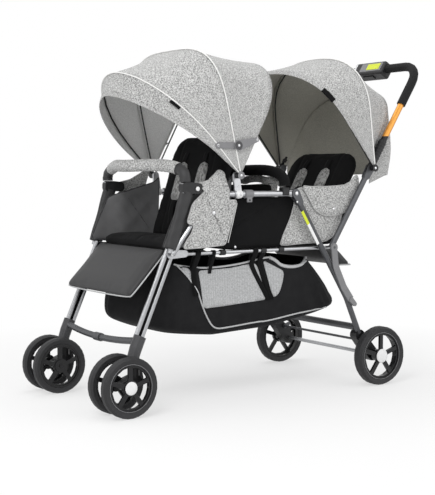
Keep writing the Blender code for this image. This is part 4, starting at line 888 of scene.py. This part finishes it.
# The front seat: a black cushion, the melange panels that wrap its sides outside the frame,
# bound all round and cut out where the frame's tube passes, and the creased lining inside them.
level_front = Matrix.Translation(at(0, -0.293, 0.466))
cushion = stuffed(
    "front_seat_cushion", 0.199, 0.152, 0.030, level_front, black_cloth, "frame",
    seams=(("x", 0.0, 0.006, 0.003),),
)
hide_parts("front_seat")
outer_outline = eased([
    (-0.220, 0.643), (-0.170, 0.655), (-0.127, 0.686), (-0.109, 0.675), (-0.135, 0.620), (-0.125, 0.596),
    (-0.084, 0.597), (-0.104, 0.530), (-0.125, 0.467), (-0.200, 0.4615), (-0.270, 0.460), (-0.262, 0.479),
    (-0.228, 0.521), (-0.236, 0.527), (-0.258, 0.533), (-0.238, 0.589), (-0.191, 0.627),
], 2, reach=0.006)
for side_name, side in sides:

    def outside(y, z, inside):
        crease = 0.0022 * math.sin(95 * (y * 0.8 + z * 0.6)) * min(1, inside / 0.03)
        crease += 0.0015 * math.sin(160 * (z - y * 0.5)) * min(1, inside / 0.02) * max(0, 0.6 - z) * 6
        lean = max(0, z - 0.628) * 0.55
        return at(side * (0.2415 + max(0, crease) - lean), y, z)

    side_frame = [f"side_frame_{side_name}"]
    sewn_panel(f"front_side_panel_{side_name}", outer_outline, outside, melange, side_frame)
    binding(f"front_side_binding_{side_name}", outer_outline, outside, 0.0016, melange)
    seam = [outside(y, z, 0.03) for y, z in (
        (-0.154, 0.655), (-0.152, 0.628), (-0.114, 0.571), (-0.141, 0.527), (-0.139, 0.464),
    )]
    round_cord(f"front_side_seam_{side_name}", eased(seam, 2, False), 0.0011, melange, "frame", 1)

    def lining(y, z, inside):
        fold = 0.0042 * math.sin(70 * (y + z) + 1.3) * math.sin(40 * (z - y)) * min(1, inside / 0.03)
        flare = min(1, max(0, (-0.215 - y) / 0.05))
        return at(side * (0.2052 + 0.0115 * flare + abs(fold) * (1 - flare)), y, z)

    lining_outline = eased([
        (-0.262, 0.600), (-0.197, 0.618), (-0.096, 0.646), (-0.080, 0.664), (-0.086, 0.509), (-0.112, 0.4635),
        (-0.322, 0.4635), (-0.320, 0.474), (-0.298, 0.526),
    ], 2, reach=0.008)
    sewn_panel(f"front_lining_{side_name}", lining_outline, lining, lit_lining_leather, side_frame)
    binding(f"front_lining_binding_{side_name}", lining_outline, lining, 0.0019, leather)
    seam = [lining(-0.195 + 0.0082 * i, 0.594 - 0.0105 * i, 0.03) for i in range(11)]
    round_cord(f"front_lining_seam_{side_name}", seam, 0.0012, leather, "frame", 1)

# The front upright's sleeve: leatherette closed round the tube from the bumper's socket down
# to the leg's joint, creased where it bends.
tube_x = 0.229
top_y, top_z, foot_y, foot_z = -0.2490, 0.622, -0.304, 0.460
for side_name, side in sides:

    def sleeve_at(u, v):
        turn = 2 * math.pi * u
        run = Vector((foot_y - top_y, foot_z - top_z)).normalized()
        half = 0.0205 + 0.0010 * math.sin(v * 9) - 0.0035 * v
        y = top_y + (foot_y - top_y) * v + run.y * half * math.cos(turn)
        z = top_z + (foot_z - top_z) * v - run.x * half * math.cos(turn)
        crease = 0.0006 * math.sin(26 * v + 2 * turn)
        return at(side * (tube_x + (0.0112 + crease) * math.sin(turn) * side), y, z)

    sleeve = cloth_piece(
        f"upright_sleeve_{side_name}", 40, 34, (0.092, 0.155), sleeve_at, leather, 0.0012, True
    )
    laid(sleeve, "frame", "stretched", f"side_frame_{side_name}")

# The backrests: black padded covers with rounded tops, quilted by two long seams and a cross
# one, and the melange shoulder pads of the harness with their webbing.
melange_pad = melange_cloth("melange_padding", "#B4B4B3", "#6C6C6B", 1.2, True)
for label, foot_y, foot_z, angle, length in (
    ("front", -0.1423, 0.466, 17.7, 0.350), ("rear", 0.2884, 0.466, 29.5, 0.330)
):
    body = f"{label}_backrest"
    lean = sloped_frame(foot_y, foot_z, angle)
    slab = lean @ Matrix.Translation((0, 0.003, -0.015))
    pad = stuffed(
        f"{label}_backrest_cover", 0.169, length - 0.006, 0.030, slab, black_cloth, body,
        far_round=0.07,
        seams=(("x", 0.098, 0.005, 0.003), ("x", -0.098, 0.005, 0.003), ("y", 0.09, 0.005, 0.003)),
    )
    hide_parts(f"{label}_backrest")
    for side_name, side in sides:
        x = side * 0.058
        shoulder = lean @ Matrix.Translation((x, 0.125, 0.010))
        stuffed(
            f"{label}_shoulder_pad_{side_name}", 0.026, 0.128, 0.014, shoulder, melange_pad, body,
            far_round=0.026, most=0.003,
        )
        strap = [lean @ Vector(p) for p in (
            (x, 0.248, 0.011), (x * 0.98, 0.262, 0.012), (x * 0.95, 0.280, 0.009), (x * 0.93, 0.296, 0.003),
        )]
        ribbon(f"{label}_shoulder_strap_{side_name}", strap, 0.0125, webbing_cloth, body)
        strap = [lean @ Vector(p) for p in (
            (x, 0.128, 0.011), (x, 0.100, 0.013), (x * 0.9, 0.070, 0.012), (x * 0.8, 0.050, 0.010),
        )]
        ribbon(f"{label}_waist_strap_{side_name}", strap, 0.0125, webbing_cloth, body)

# The rear seat: one black shell between the rails, with a footwell in front of its cushion,
# dressed outside with melange cloth behind and a rounded side flap held by a snap.
shell_outline = eased([
    (-0.108, 0.452), (-0.092, 0.520), (-0.070, 0.594), (-0.052, 0.599), (0.150, 0.600), (0.160, 0.634),
    (0.372, 0.634), (0.372, 0.575), (0.325, 0.480), (0.300, 0.452),
], 2, reach=0.008)
floor_panel = cloth_piece(
    "footwell_floor", 24, 16, (0.404, 0.182),
    lambda u, v: at(0.202 * (2 * u - 1), -0.093 + 0.182 * v, 0.4505 - 0.004 * math.sin(math.pi * v)),
    black_cloth, 0.003,
)
laid(floor_panel, "frame", "stretched", "lower_rail_left", "lower_rail_right")
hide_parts("rear_seat")
stuffed(
    "rear_seat_cushion", 0.194, 0.200, 0.030, Matrix.Translation(at(0, 0.088, 0.466)), black_cloth, "frame",
    seams=(("x", 0.0, 0.006, 0.003),),
)
front_drop = cloth_piece(
    "rear_seat_front", 24, 6, (0.404, 0.030),
    lambda u, v: at(0.200 * (2 * u - 1), 0.087, 0.452 + 0.024 * v), black_cloth, 0.003,
)
laid(front_drop, "frame", "stretched", "rear_seat_cushion")
rear_body_outline = eased([
    (0.158, 0.612), (0.150, 0.560), (0.098, 0.462), (0.106, 0.4535), (0.180, 0.458), (0.270, 0.458),
    (0.312, 0.478), (0.336, 0.520), (0.352, 0.580), (0.356, 0.630), (0.250, 0.633), (0.170, 0.632),
], 1)
flap_outline = eased([
    (0.176, 0.637), (0.215, 0.632), (0.300, 0.633), (0.362, 0.638), (0.392, 0.668), (0.404, 0.664),
    (0.406, 0.630), (0.396, 0.596), (0.368, 0.560), (0.334, 0.545), (0.296, 0.540), (0.260, 0.543),
    (0.228, 0.560), (0.210, 0.590),
], 1)
for side_name, side in sides:

    def shell_wall(y, z, inside):
        wave = 0.0006 * math.sin(60 * y + 30 * z) * min(1, inside / 0.03)
        return at(side * (0.2040 + wave), y, z)

    sewn_panel(
        f"rear_shell_{side_name}", shell_outline, shell_wall, black_cloth,
        [f"side_frame_{side_name}", f"lower_rail_{side_name}"], wall=0.003,
    )

    def rear_body(y, z, inside):
        fold = 0.0030 * math.sin(120 * (z - 0.9 * y) + 2) * math.exp(-(((y - 0.13) / 0.05) ** 2))
        fold += 0.0024 * math.sin(150 * (z + 0.4 * y)) * max(0, 1 - (z - 0.455) / 0.06)
        return at(side * (0.2075 + abs(fold) * min(1, inside / 0.012)), y, z)

    sewn_panel(
        f"rear_body_{side_name}", rear_body_outline, rear_body, melange, [f"rear_shell_{side_name}"],
        spacing=0.009,
    )
    binding(f"rear_body_binding_{side_name}", rear_body_outline, rear_body, 0.0016, melange)

    def flap_at(y, z, inside):
        wave = 0.0022 * math.sin(58 * y + 40 * (z - 0.6)) * min(1, inside / 0.02)
        return at(side * (0.2135 + abs(wave)), y, z)

    sewn_panel(
        f"rear_flap_{side_name}", flap_outline, flap_at, melange, [f"rear_body_{side_name}"], "hung", 0.0022
    )
    binding(f"rear_flap_binding_{side_name}", flap_outline, flap_at, 0.0018, melange)
    line = [at(side * 0.2066, y, z) for y, z in ((-0.060, 0.586), (-0.075, 0.530), (-0.092, 0.470))]
    round_cord(f"rear_shell_piping_{side_name}", line, 0.0016, white_piping, "frame", 1)

# The seat's tail: a leatherette flap with thin filling, sewn to the seat's rear edge and
# hanging over the rear tube, with light piping round its lower end.
tail_half = 0.146
tail_side = eased([
    (0.292, 0.4505), (0.330, 0.440), (0.384, 0.4294), (0.442, 0.3765), (0.385, 0.378), (0.340, 0.400),
    (0.300, 0.440),
], 2, reach=0.008)


def tail_at(u, v):
    """A point of the flap: round its outline in the side view for u, and across it for v."""
    step = u * len(tail_side)
    first, second = (tail_side[(int(step) + more) % len(tail_side)] for more in (0, 1))
    middle = Vector((0.372, 0.408))
    spot = middle + (first.lerp(second, step % 1) - middle) * max(0.02, 1 - (2 * v - 1) ** 30) ** 0.5
    return at(tail_half * (2 * v - 1), spot.x, spot.y)


tail = cloth_piece("seat_tail", 56, 60, (0.36, 2 * tail_half), tail_at, leather, 0.0, True)
fixed(tail, "frame")
light_piping = moulded_plastic(
    "light_grey_piping", "#C6C7C8", "#B2B3B4", 0.6, 700, 0.3
)
edge = [at(side * 0.1465, y, z) for side, y, z in (
    (1, 0.385, 0.378), (1, 0.440, 0.3765), (-1, 0.440, 0.3765), (-1, 0.385, 0.378),
)]
round_cord("seat_tail_piping", eased(edge, 2, False, 0.01), 0.0022, light_piping, "frame")

# The calf rest: leatherette over a board and thin foam, hinged at the seat's front edge and
# piped in light grey along its lower end.
slope = math.radians(47.0)
down = Vector((0, -math.cos(slope), -math.sin(slope)))
out = Vector((0, -math.sin(slope), math.cos(slope)))
rest_frame = Matrix.Translation(at(0, -0.3031, 0.462) - out * 0.0095) @ turned((-1, 0, 0), down, out)
calf_rest = stuffed(
    "footrest_cover", 0.1965, 0.176, 0.0215, rest_frame, leather, "footrest", far_round=0.012,
    most=0.004,
)
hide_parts("footrest")
edge = [rest_frame @ Vector((x, y, 0.0)) for x, y in (
    (-0.1975, 0.020), (-0.1980, 0.090), (-0.1965, 0.166), (-0.188, 0.1765), (0.0, 0.1785), (0.188, 0.1765),
    (0.1965, 0.166), (0.1980, 0.090), (0.1975, 0.020),
)]
round_cord("footrest_piping", eased(edge, 2, False), 0.0020, light_piping, "footrest")

# The bumper bars: foam round a bowed tube. The front one has a melange sleeve between dark
# leatherette ends; the rear one is all black, with a strip of melange hung beneath it.


def bumper_centre(foot_y, foot_z, reach, share):
    """The tube's middle, a share of the way from the left foot to the right one."""
    turn = math.pi * share
    lift = math.sin(turn)
    rise = 0.056 * max(lift, 0) ** 0.6 - 0.010 * lift**6
    return at(tube_x * math.cos(turn), foot_y - reach * lift**5, foot_z + 0.010 + rise)


def bumper_sleeve(name, body, foot, reach, start, end, radius, material, wrinkle):
    """A stretch of the bar's cover, with small creases where the bar bends."""
    steps = 60
    line = [bumper_centre(*foot, reach, start + (end - start) * i / steps) for i in range(steps + 1)]
    length = sum((b - a).length for a, b in zip(line, line[1:]))

    def place(u, v):
        spot = v * steps
        index = min(int(spot), steps - 1)
        centre = line[index].lerp(line[index + 1], spot - index)
        run = (line[index + 1] - line[index]).normalized()
        upward = (Vector((0, 0.25, 1)) - run * run.dot(Vector((0, 0.25, 1)))).normalized()
        across = run.cross(upward)
        turn = 2 * math.pi * u
        under = max(0, -math.sin(turn))
        grow = radius * (1 + 0.02 * math.sin(9 * v + 3 * turn))
        grow -= wrinkle * under * math.sin(190 * v * length) ** 2
        return centre + (across * math.cos(turn) * 0.94 + upward * math.sin(turn)) * grow

    sleeve = cloth_piece(name, 28, 110, (2 * math.pi * radius, length), place, material, 0.0, True)
    fixed(sleeve, body)
    return sleeve


front_foot, rear_foot = (-0.256, 0.640), (0.098, 0.626)
sleeve = bumper_sleeve(
    "front_bumper_sleeve", "front_bumper", front_foot, 0.058, 0.165, 0.835, 0.0182, melange, 0.0008
)
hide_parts("front_bumper")
for side_name, start, end in (("left", 0.0, 0.175), ("right", 0.825, 1.0)):
    bumper_sleeve(
        f"front_bumper_end_{side_name}", "front_bumper", front_foot, 0.058, start, end, 0.0165, leather,
        0.0010,
    )
sleeve = bumper_sleeve(
    "rear_bumper_sleeve", "rear_bumper", rear_foot, 0.014, 0.0, 1.0, 0.0168, black_cloth, 0.0012
)
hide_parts("rear_bumper")


def strip_at(u, v):
    """The crumpled strip under the rear bar, across for u and down for v."""
    spot = bumper_centre(*rear_foot, 0.014, 0.10 + 0.80 * u)
    crumple = 0.004 * math.sin(43 * u) + 0.002 * math.sin(97 * u + 4 * v)
    return spot + Vector((0, 0.010 + crumple, -0.016 - 0.024 * v - 0.003 * math.sin(31 * u)))


strip = cloth_piece("rear_bumper_strip", 60, 6, (0.40, 0.032), strip_at, melange, 0.002)
laid(strip, "rear_bumper", "hung", "rear_bumper_sleeve")

# The front bumper's sockets: a moulded nylon shell over each bracket, with a round recess for
# its white release button.
for side_name, side in sides:
    shape = bmesh.new()
    outline = [(-0.270, 0.616), (-0.202, 0.616), (-0.201, 0.644), (-0.238, 0.649), (-0.270, 0.649)]
    corners = eased(outline, 2, reach=0.007)
    near = [shape.verts.new(at(side * 0.2185, p.x, p.y)) for p in corners]
    far = [shape.verts.new(at(side * 0.2397, p.x, p.y)) for p in corners]
    shape.faces.new(near)
    shape.faces.new(far)
    for index in range(len(corners)):
        after = (index + 1) % len(corners)
        shape.faces.new((near[index], near[after], far[after], far[index]))
    bmesh.ops.recalc_face_normals(shape, faces=shape.faces)
    finished_piece(f"bumper_socket_{side_name}", shape, black_plastic, "frame", False)
    hub = at(side * 0.2396, -0.220, 0.630)
    disc(f"bumper_recess_{side_name}", hub, (side, 0, 0), 0.0105, 0.0008, rim_plastic, "frame", 0.0003)
    cap(
        f"bumper_button_face_{side_name}", at(side * 0.2412, -0.220, 0.630), (side, 0, 0), 0.0064, 0.0016,
        white_plastic, f"bumper_button_{side_name}",
    )

# The frame's small fittings: moulded collars, clamps, clips and sleeves pushed over its tubes,
# steel rivets and snaps, and the lime and white marks printed on the rear legs.
mark_top, mark_middle, mark_foot = (0.1602, 0.5583), (0.1842, 0.5181), (0.2238, 0.4558)
leg_face, rail_z = 0.2381, 0.613
leg_up = (Vector(mark_top) - Vector(mark_foot)).normalized()
leg_turn = turned((0, leg_up.x, leg_up.y), (0, -leg_up.y, leg_up.x), (1, 0, 0))
for side_name, side in sides:
    out = (side, 0, 0)
    for label, start, end, material in (
        ("lime", mark_top, mark_middle, lime_plastic), ("white", mark_middle, mark_foot, white_plastic)
    ):
        middle = (Vector(start) + Vector(end)) / 2
        place = Matrix.Translation(at(side * leg_face, middle.x, middle.y)) @ leg_turn
        size = ((Vector(start) - Vector(end)).length, 0.0100, 0.0012)
        block(f"leg_{label}_mark_{side_name}", place, size, material, "rear_legs", 0.0004)
    for label, y, z, radius in (("joint", 0.139, rail_z, 0.0060), ("joint_low", 0.141, 0.587, 0.0035)):
        cap(
            f"rear_leg_{label}_rivet_{side_name}", at(side * leg_face, y, z), out, radius, 0.0014,
            bright_steel, "rear_legs",
        )
    for label, x, y, z, radius in (
        ("front_leg", 0.2335, -0.300, 0.445, 0.0055), ("hood_post", 0.2335, -0.073, 0.6365, 0.0030),
        ("clamp", 0.2410, -0.070, rail_z, 0.0042), ("outer_panel_snap", 0.2440, -0.167, 0.560, 0.0060),
        ("flap_snap", 0.2160, 0.303, 0.562, 0.0050), ("panel_snap", 0.2440, -0.092, 0.4595, 0.0040),
    ):
        cap(f"{label}_rivet_{side_name}", at(side * x, y, z), out, radius, 0.0016, bright_steel, "frame")
    for label, y, width, radius, material in (
        ("collar", -0.036, 0.028, 0.0125, grey_plastic),
        ("post_clamp", -0.072, 0.020, 0.0120, white_plastic),
    ):
        disc(
            f"rail_{label}_{side_name}", at(side * tube_x, y - width / 2, rail_z), (0, 1, 0), radius, width,
            material, "frame",
        )
    place = Matrix.Translation(at(side * 0.2365, -0.036, 0.598))
    block(f"rail_collar_tab_{side_name}", place, (0.004, 0.018, 0.018), grey_plastic, "frame")
    # A small black cap on the collar's tab stands in for a hole; its colour is painted shade inside the hole.
    cap(
        f"rail_collar_hole_{side_name}", at(side * 0.2385, -0.036, 0.595), out, 0.0030, 0.0006,
        black_plastic, "frame",
    )
    place = Matrix.Translation(at(side * tube_x, 0.098, 0.6195))
    block(f"rear_bumper_seat_{side_name}", place, (0.0215, 0.026, 0.024), black_plastic, "frame", 0.003)
    handle_up = Vector((0, 0.0553, 0.0881)).normalized()
    low = at(side * tube_x, 0.4500, 0.7070)
    disc(f"handle_sleeve_{side_name}", low, handle_up, 0.0128, 0.082, black_plastic, "handle", 0.001)
    for index in range(7):
        foot = low + handle_up * (0.006 + 0.0105 * index)
        disc(
            f"handle_sleeve_rib_{side_name}_{index}", foot, handle_up, 0.0138, 0.0050, black_plastic,
            "handle", 0.0012,
        )
    for index, y in enumerate((-0.118, 0.030, 0.096)):
        disc(
            f"lower_rail_clip_{side_name}_{index}", at(side * 0.214, y - 0.009, 0.443), (0, 1, 0), 0.0085,
            0.018, black_plastic, "frame",
        )

# The basket: one sagging bag of black cloth hung from the lower rails by webbing loops, with
# fine-ribbed grey panels, light tape along its seams and a padded wavy rim.
rim_line = (
    (-0.276, 0.420), (-0.249, 0.408), (-0.171, 0.396), (-0.061, 0.401), (0.025, 0.415), (0.070, 0.421),
    (0.092, 0.412), (0.114, 0.394), (0.154, 0.387), (0.205, 0.391), (0.242, 0.410),
)
basket_levels = (
    (0.192, (-0.276, -0.10, 0.10, 0.250), (0.420, 0.400, 0.400, 0.410)),
    (0.190, (-0.306, -0.10, 0.10, 0.300), (0.345, 0.340, 0.340, 0.356)),
    (0.184, (-0.324, -0.10, 0.10, 0.348), (0.280, 0.262, 0.265, 0.300)),
    (0.170, (-0.318, -0.105, 0.10, 0.374), (0.234, 0.205, 0.213, 0.258)),
    (0.140, (-0.256, -0.107, 0.087, 0.304), (0.205, 0.191, 0.201, 0.231)),
)
# Columns round the bag, the share of each that is side wall, and how square the bag is.
basket_columns, wall_share, basket_square = 180, 0.72, 6.5


def squared(value):
    """A cosine or sine, pushed out so that the ring it draws has the bag's squarer corners."""
    return np.sign(value) * np.abs(value) ** (2 / basket_square)


def basket_at(u, v):
    """A point of the bag: once round for u, and from the rim down to the floor's middle for v."""
    turn = basket_turns[min(int(u * basket_columns + 0.5), basket_columns)]
    cross, along = float(squared(math.cos(turn))), float(squared(math.sin(turn)))
    depth = min(v / wall_share, 1) * 4
    lower = min(int(depth), 3)
    share = depth - lower
    sizes = []
    for index in (max(lower - 1, 0), lower, lower + 1, min(lower + 2, 4)):
        half, ys, zs = basket_levels[index]
        y = ys[0] + (ys[3] - ys[0]) * (along + 1) / 2
        z = float(np.interp(y, *zip(*rim_line))) if index == 0 else float(np.interp(y, ys, zs))
        sizes.append(Vector((half * cross, y, z)))
    a, b, c, d = sizes
    spot = 0.5 * (
        2 * b + (c - a) * share + (2 * a - 5 * b + 4 * c - d) * share**2 + (3 * b - a - 3 * c + d) * share**3
    )
    inward = max(0, (v - wall_share) / (1 - wall_share))
    if inward:
        spot = Vector((
            spot.x * (1 - inward), spot.y * (1 - 0.35 * inward) + 0.008 * inward, spot.z - 0.004 * inward
        ))
    fold = 0.0030 * math.sin(26 * turn + 5 * v) * math.sin(math.pi * min(1, v / wall_share)) ** 2
    return at(*(spot + Vector((cross, 0.6 * along, 0)) * fold * (1 - inward)))


dense = np.linspace(0, 2 * math.pi, 4001)
ring_x, ring_y = 0.19 * squared(np.cos(dense)), 0.27 * squared(np.sin(dense))
run = np.concatenate([[0], np.cumsum(np.hypot(np.diff(ring_x), np.diff(ring_y)))])
basket_turns = np.interp(np.linspace(0, run[-1], basket_columns + 1), run, dense)
basket_cloth = woven_black("black_basket_mesh", "#262627", "#18181A", 420)
bag = cloth_piece("basket_bag", basket_columns, 44, (1.70, 0.48), basket_at, basket_cloth, 0.002, True)
laid(bag, "frame", "hung", "lower_rail_left", "lower_rail_right")
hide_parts("basket")
bag_tree = BVHTree.FromPolygons(
    [point.co for point in bag.data.vertices], [face.vertices[:] for face in bag.data.polygons]
)


def bag_side(side, y, z, proud=0.0015):
    """A place on the bag's side wall, found by looking at the bag from that side."""
    start = at(side * 0.40, y, z)
    spot = bag_tree.ray_cast(start, Vector((-side, 0, 0)), 0.36)[0]
    if spot is None:
        spot = bag_tree.find_nearest(at(side * 0.19, y, z))[0]
    return spot + Vector((side * proud, 0, 0))


ribbed = melange_cloth("ribbed_grey_polyester", "#C9CACB", "#A9AAAB", 0.7)
tree = ribbed.node_tree
place = add_node(tree, "UVMap", uv_map="weave").outputs["UV"]
# The ribs are painted shade: a wave darkens the colour in fine stripes, standing in for the shade between
# raised ribs.
rib = add_node(tree, "TexWave", {"Vector": place, "Scale": 52, "Distortion": 0.4, "Detail": 1})
shader = tree.nodes["Principled BSDF"]
plain = shader.inputs["Base Color"].links[0].from_socket
shade = add_node(tree, "MapRange", {"Value": rib.outputs["Fac"], "To Min": 0.80, "To Max": 1.0})
painted_rib_shade = add_node(
    tree, "Mix", {0: 1.0, 6: plain, 7: shade.outputs[0]}, data_type="RGBA", blend_type="MULTIPLY"
)
tree.links.new(painted_rib_shade.outputs[2], shader.inputs["Base Color"])
panels = {
    "wide": [
        (-0.188, 0.391), (-0.061, 0.394), (0.012, 0.406), (0.026, 0.390), (0.059, 0.291), (-0.164, 0.277),
    ],
    "narrow": [(0.0441, 0.4118), (0.1252, 0.3743), (0.1204, 0.3422), (0.1071, 0.3057), (0.0838, 0.2936)],
    "sliver": [(-0.244, 0.404), (-0.214, 0.399), (-0.205, 0.352), (-0.216, 0.368)],
}
for side_name, side in sides:
    for label, outline in panels.items():
        outline = eased(outline, 2, reach=0.007)

        def on_bag(y, z, inside):
            return bag_side(side, y, z, 0.0022)

        sewn_panel(
            f"basket_{label}_panel_{side_name}", outline, on_bag, ribbed, ["basket_bag"], wall=0.0014
        )
    seam = eased([
        (-0.262, 0.419), (-0.222, 0.376), (-0.192, 0.336), (-0.181, 0.310), (-0.145, 0.238), (-0.119, 0.213),
        (-0.077, 0.214), (0.042, 0.224), (0.064, 0.222), (0.218, 0.241), (0.320, 0.247),
    ], 2, False)
    line = [bag_side(side, p.x, p.y, 0.003) for p in seam]
    round_cord(f"basket_piping_{side_name}", line, 0.0024, light_piping, "frame")
    line = [bag_side(side, y, z + 0.001, 0.001) for y, z in rim_line]
    round_cord(f"basket_rim_{side_name}", eased(line, 2, False), 0.0030, light_piping, "frame")
    line = [bag_side(side, y, z - 0.002, 0.001) for y, z in rim_line[5:]]
    round_cord(f"basket_rim_pad_{side_name}", eased(line, 2, False), 0.0052, light_piping, "frame", 3)
    straps = (
        (-0.205, -0.196, 0.318), (-0.150, -0.150, None), (0.000, 0.067, 0.2885), (0.029, 0.0785, 0.2909),
    )
    for index, (y, foot_y, foot_z) in enumerate(straps):
        top = float(np.interp(y, *zip(*rim_line)))
        path = [bag_side(side, foot_y, foot_z, 0.0042)] if foot_z else []
        path += [
            bag_side(side, y, top - 0.016, 0.0045), bag_side(side, y, top - 0.003, 0.0060),
            at(side * 0.2215, y, 0.4400), at(side * 0.2200, y, 0.4495), at(side * 0.2120, y, 0.4510),
            at(side * 0.2050, y, 0.4440), bag_side(side, y, top - 0.003, -0.0035),
            bag_side(side, y, top - 0.020, -0.0035),
        ]
        half = 0.0085 if foot_z else 0.0055
        ribbon(f"basket_strap_{side_name}_{index}", path, half, webbing_cloth, "frame", (0, 1, 0))
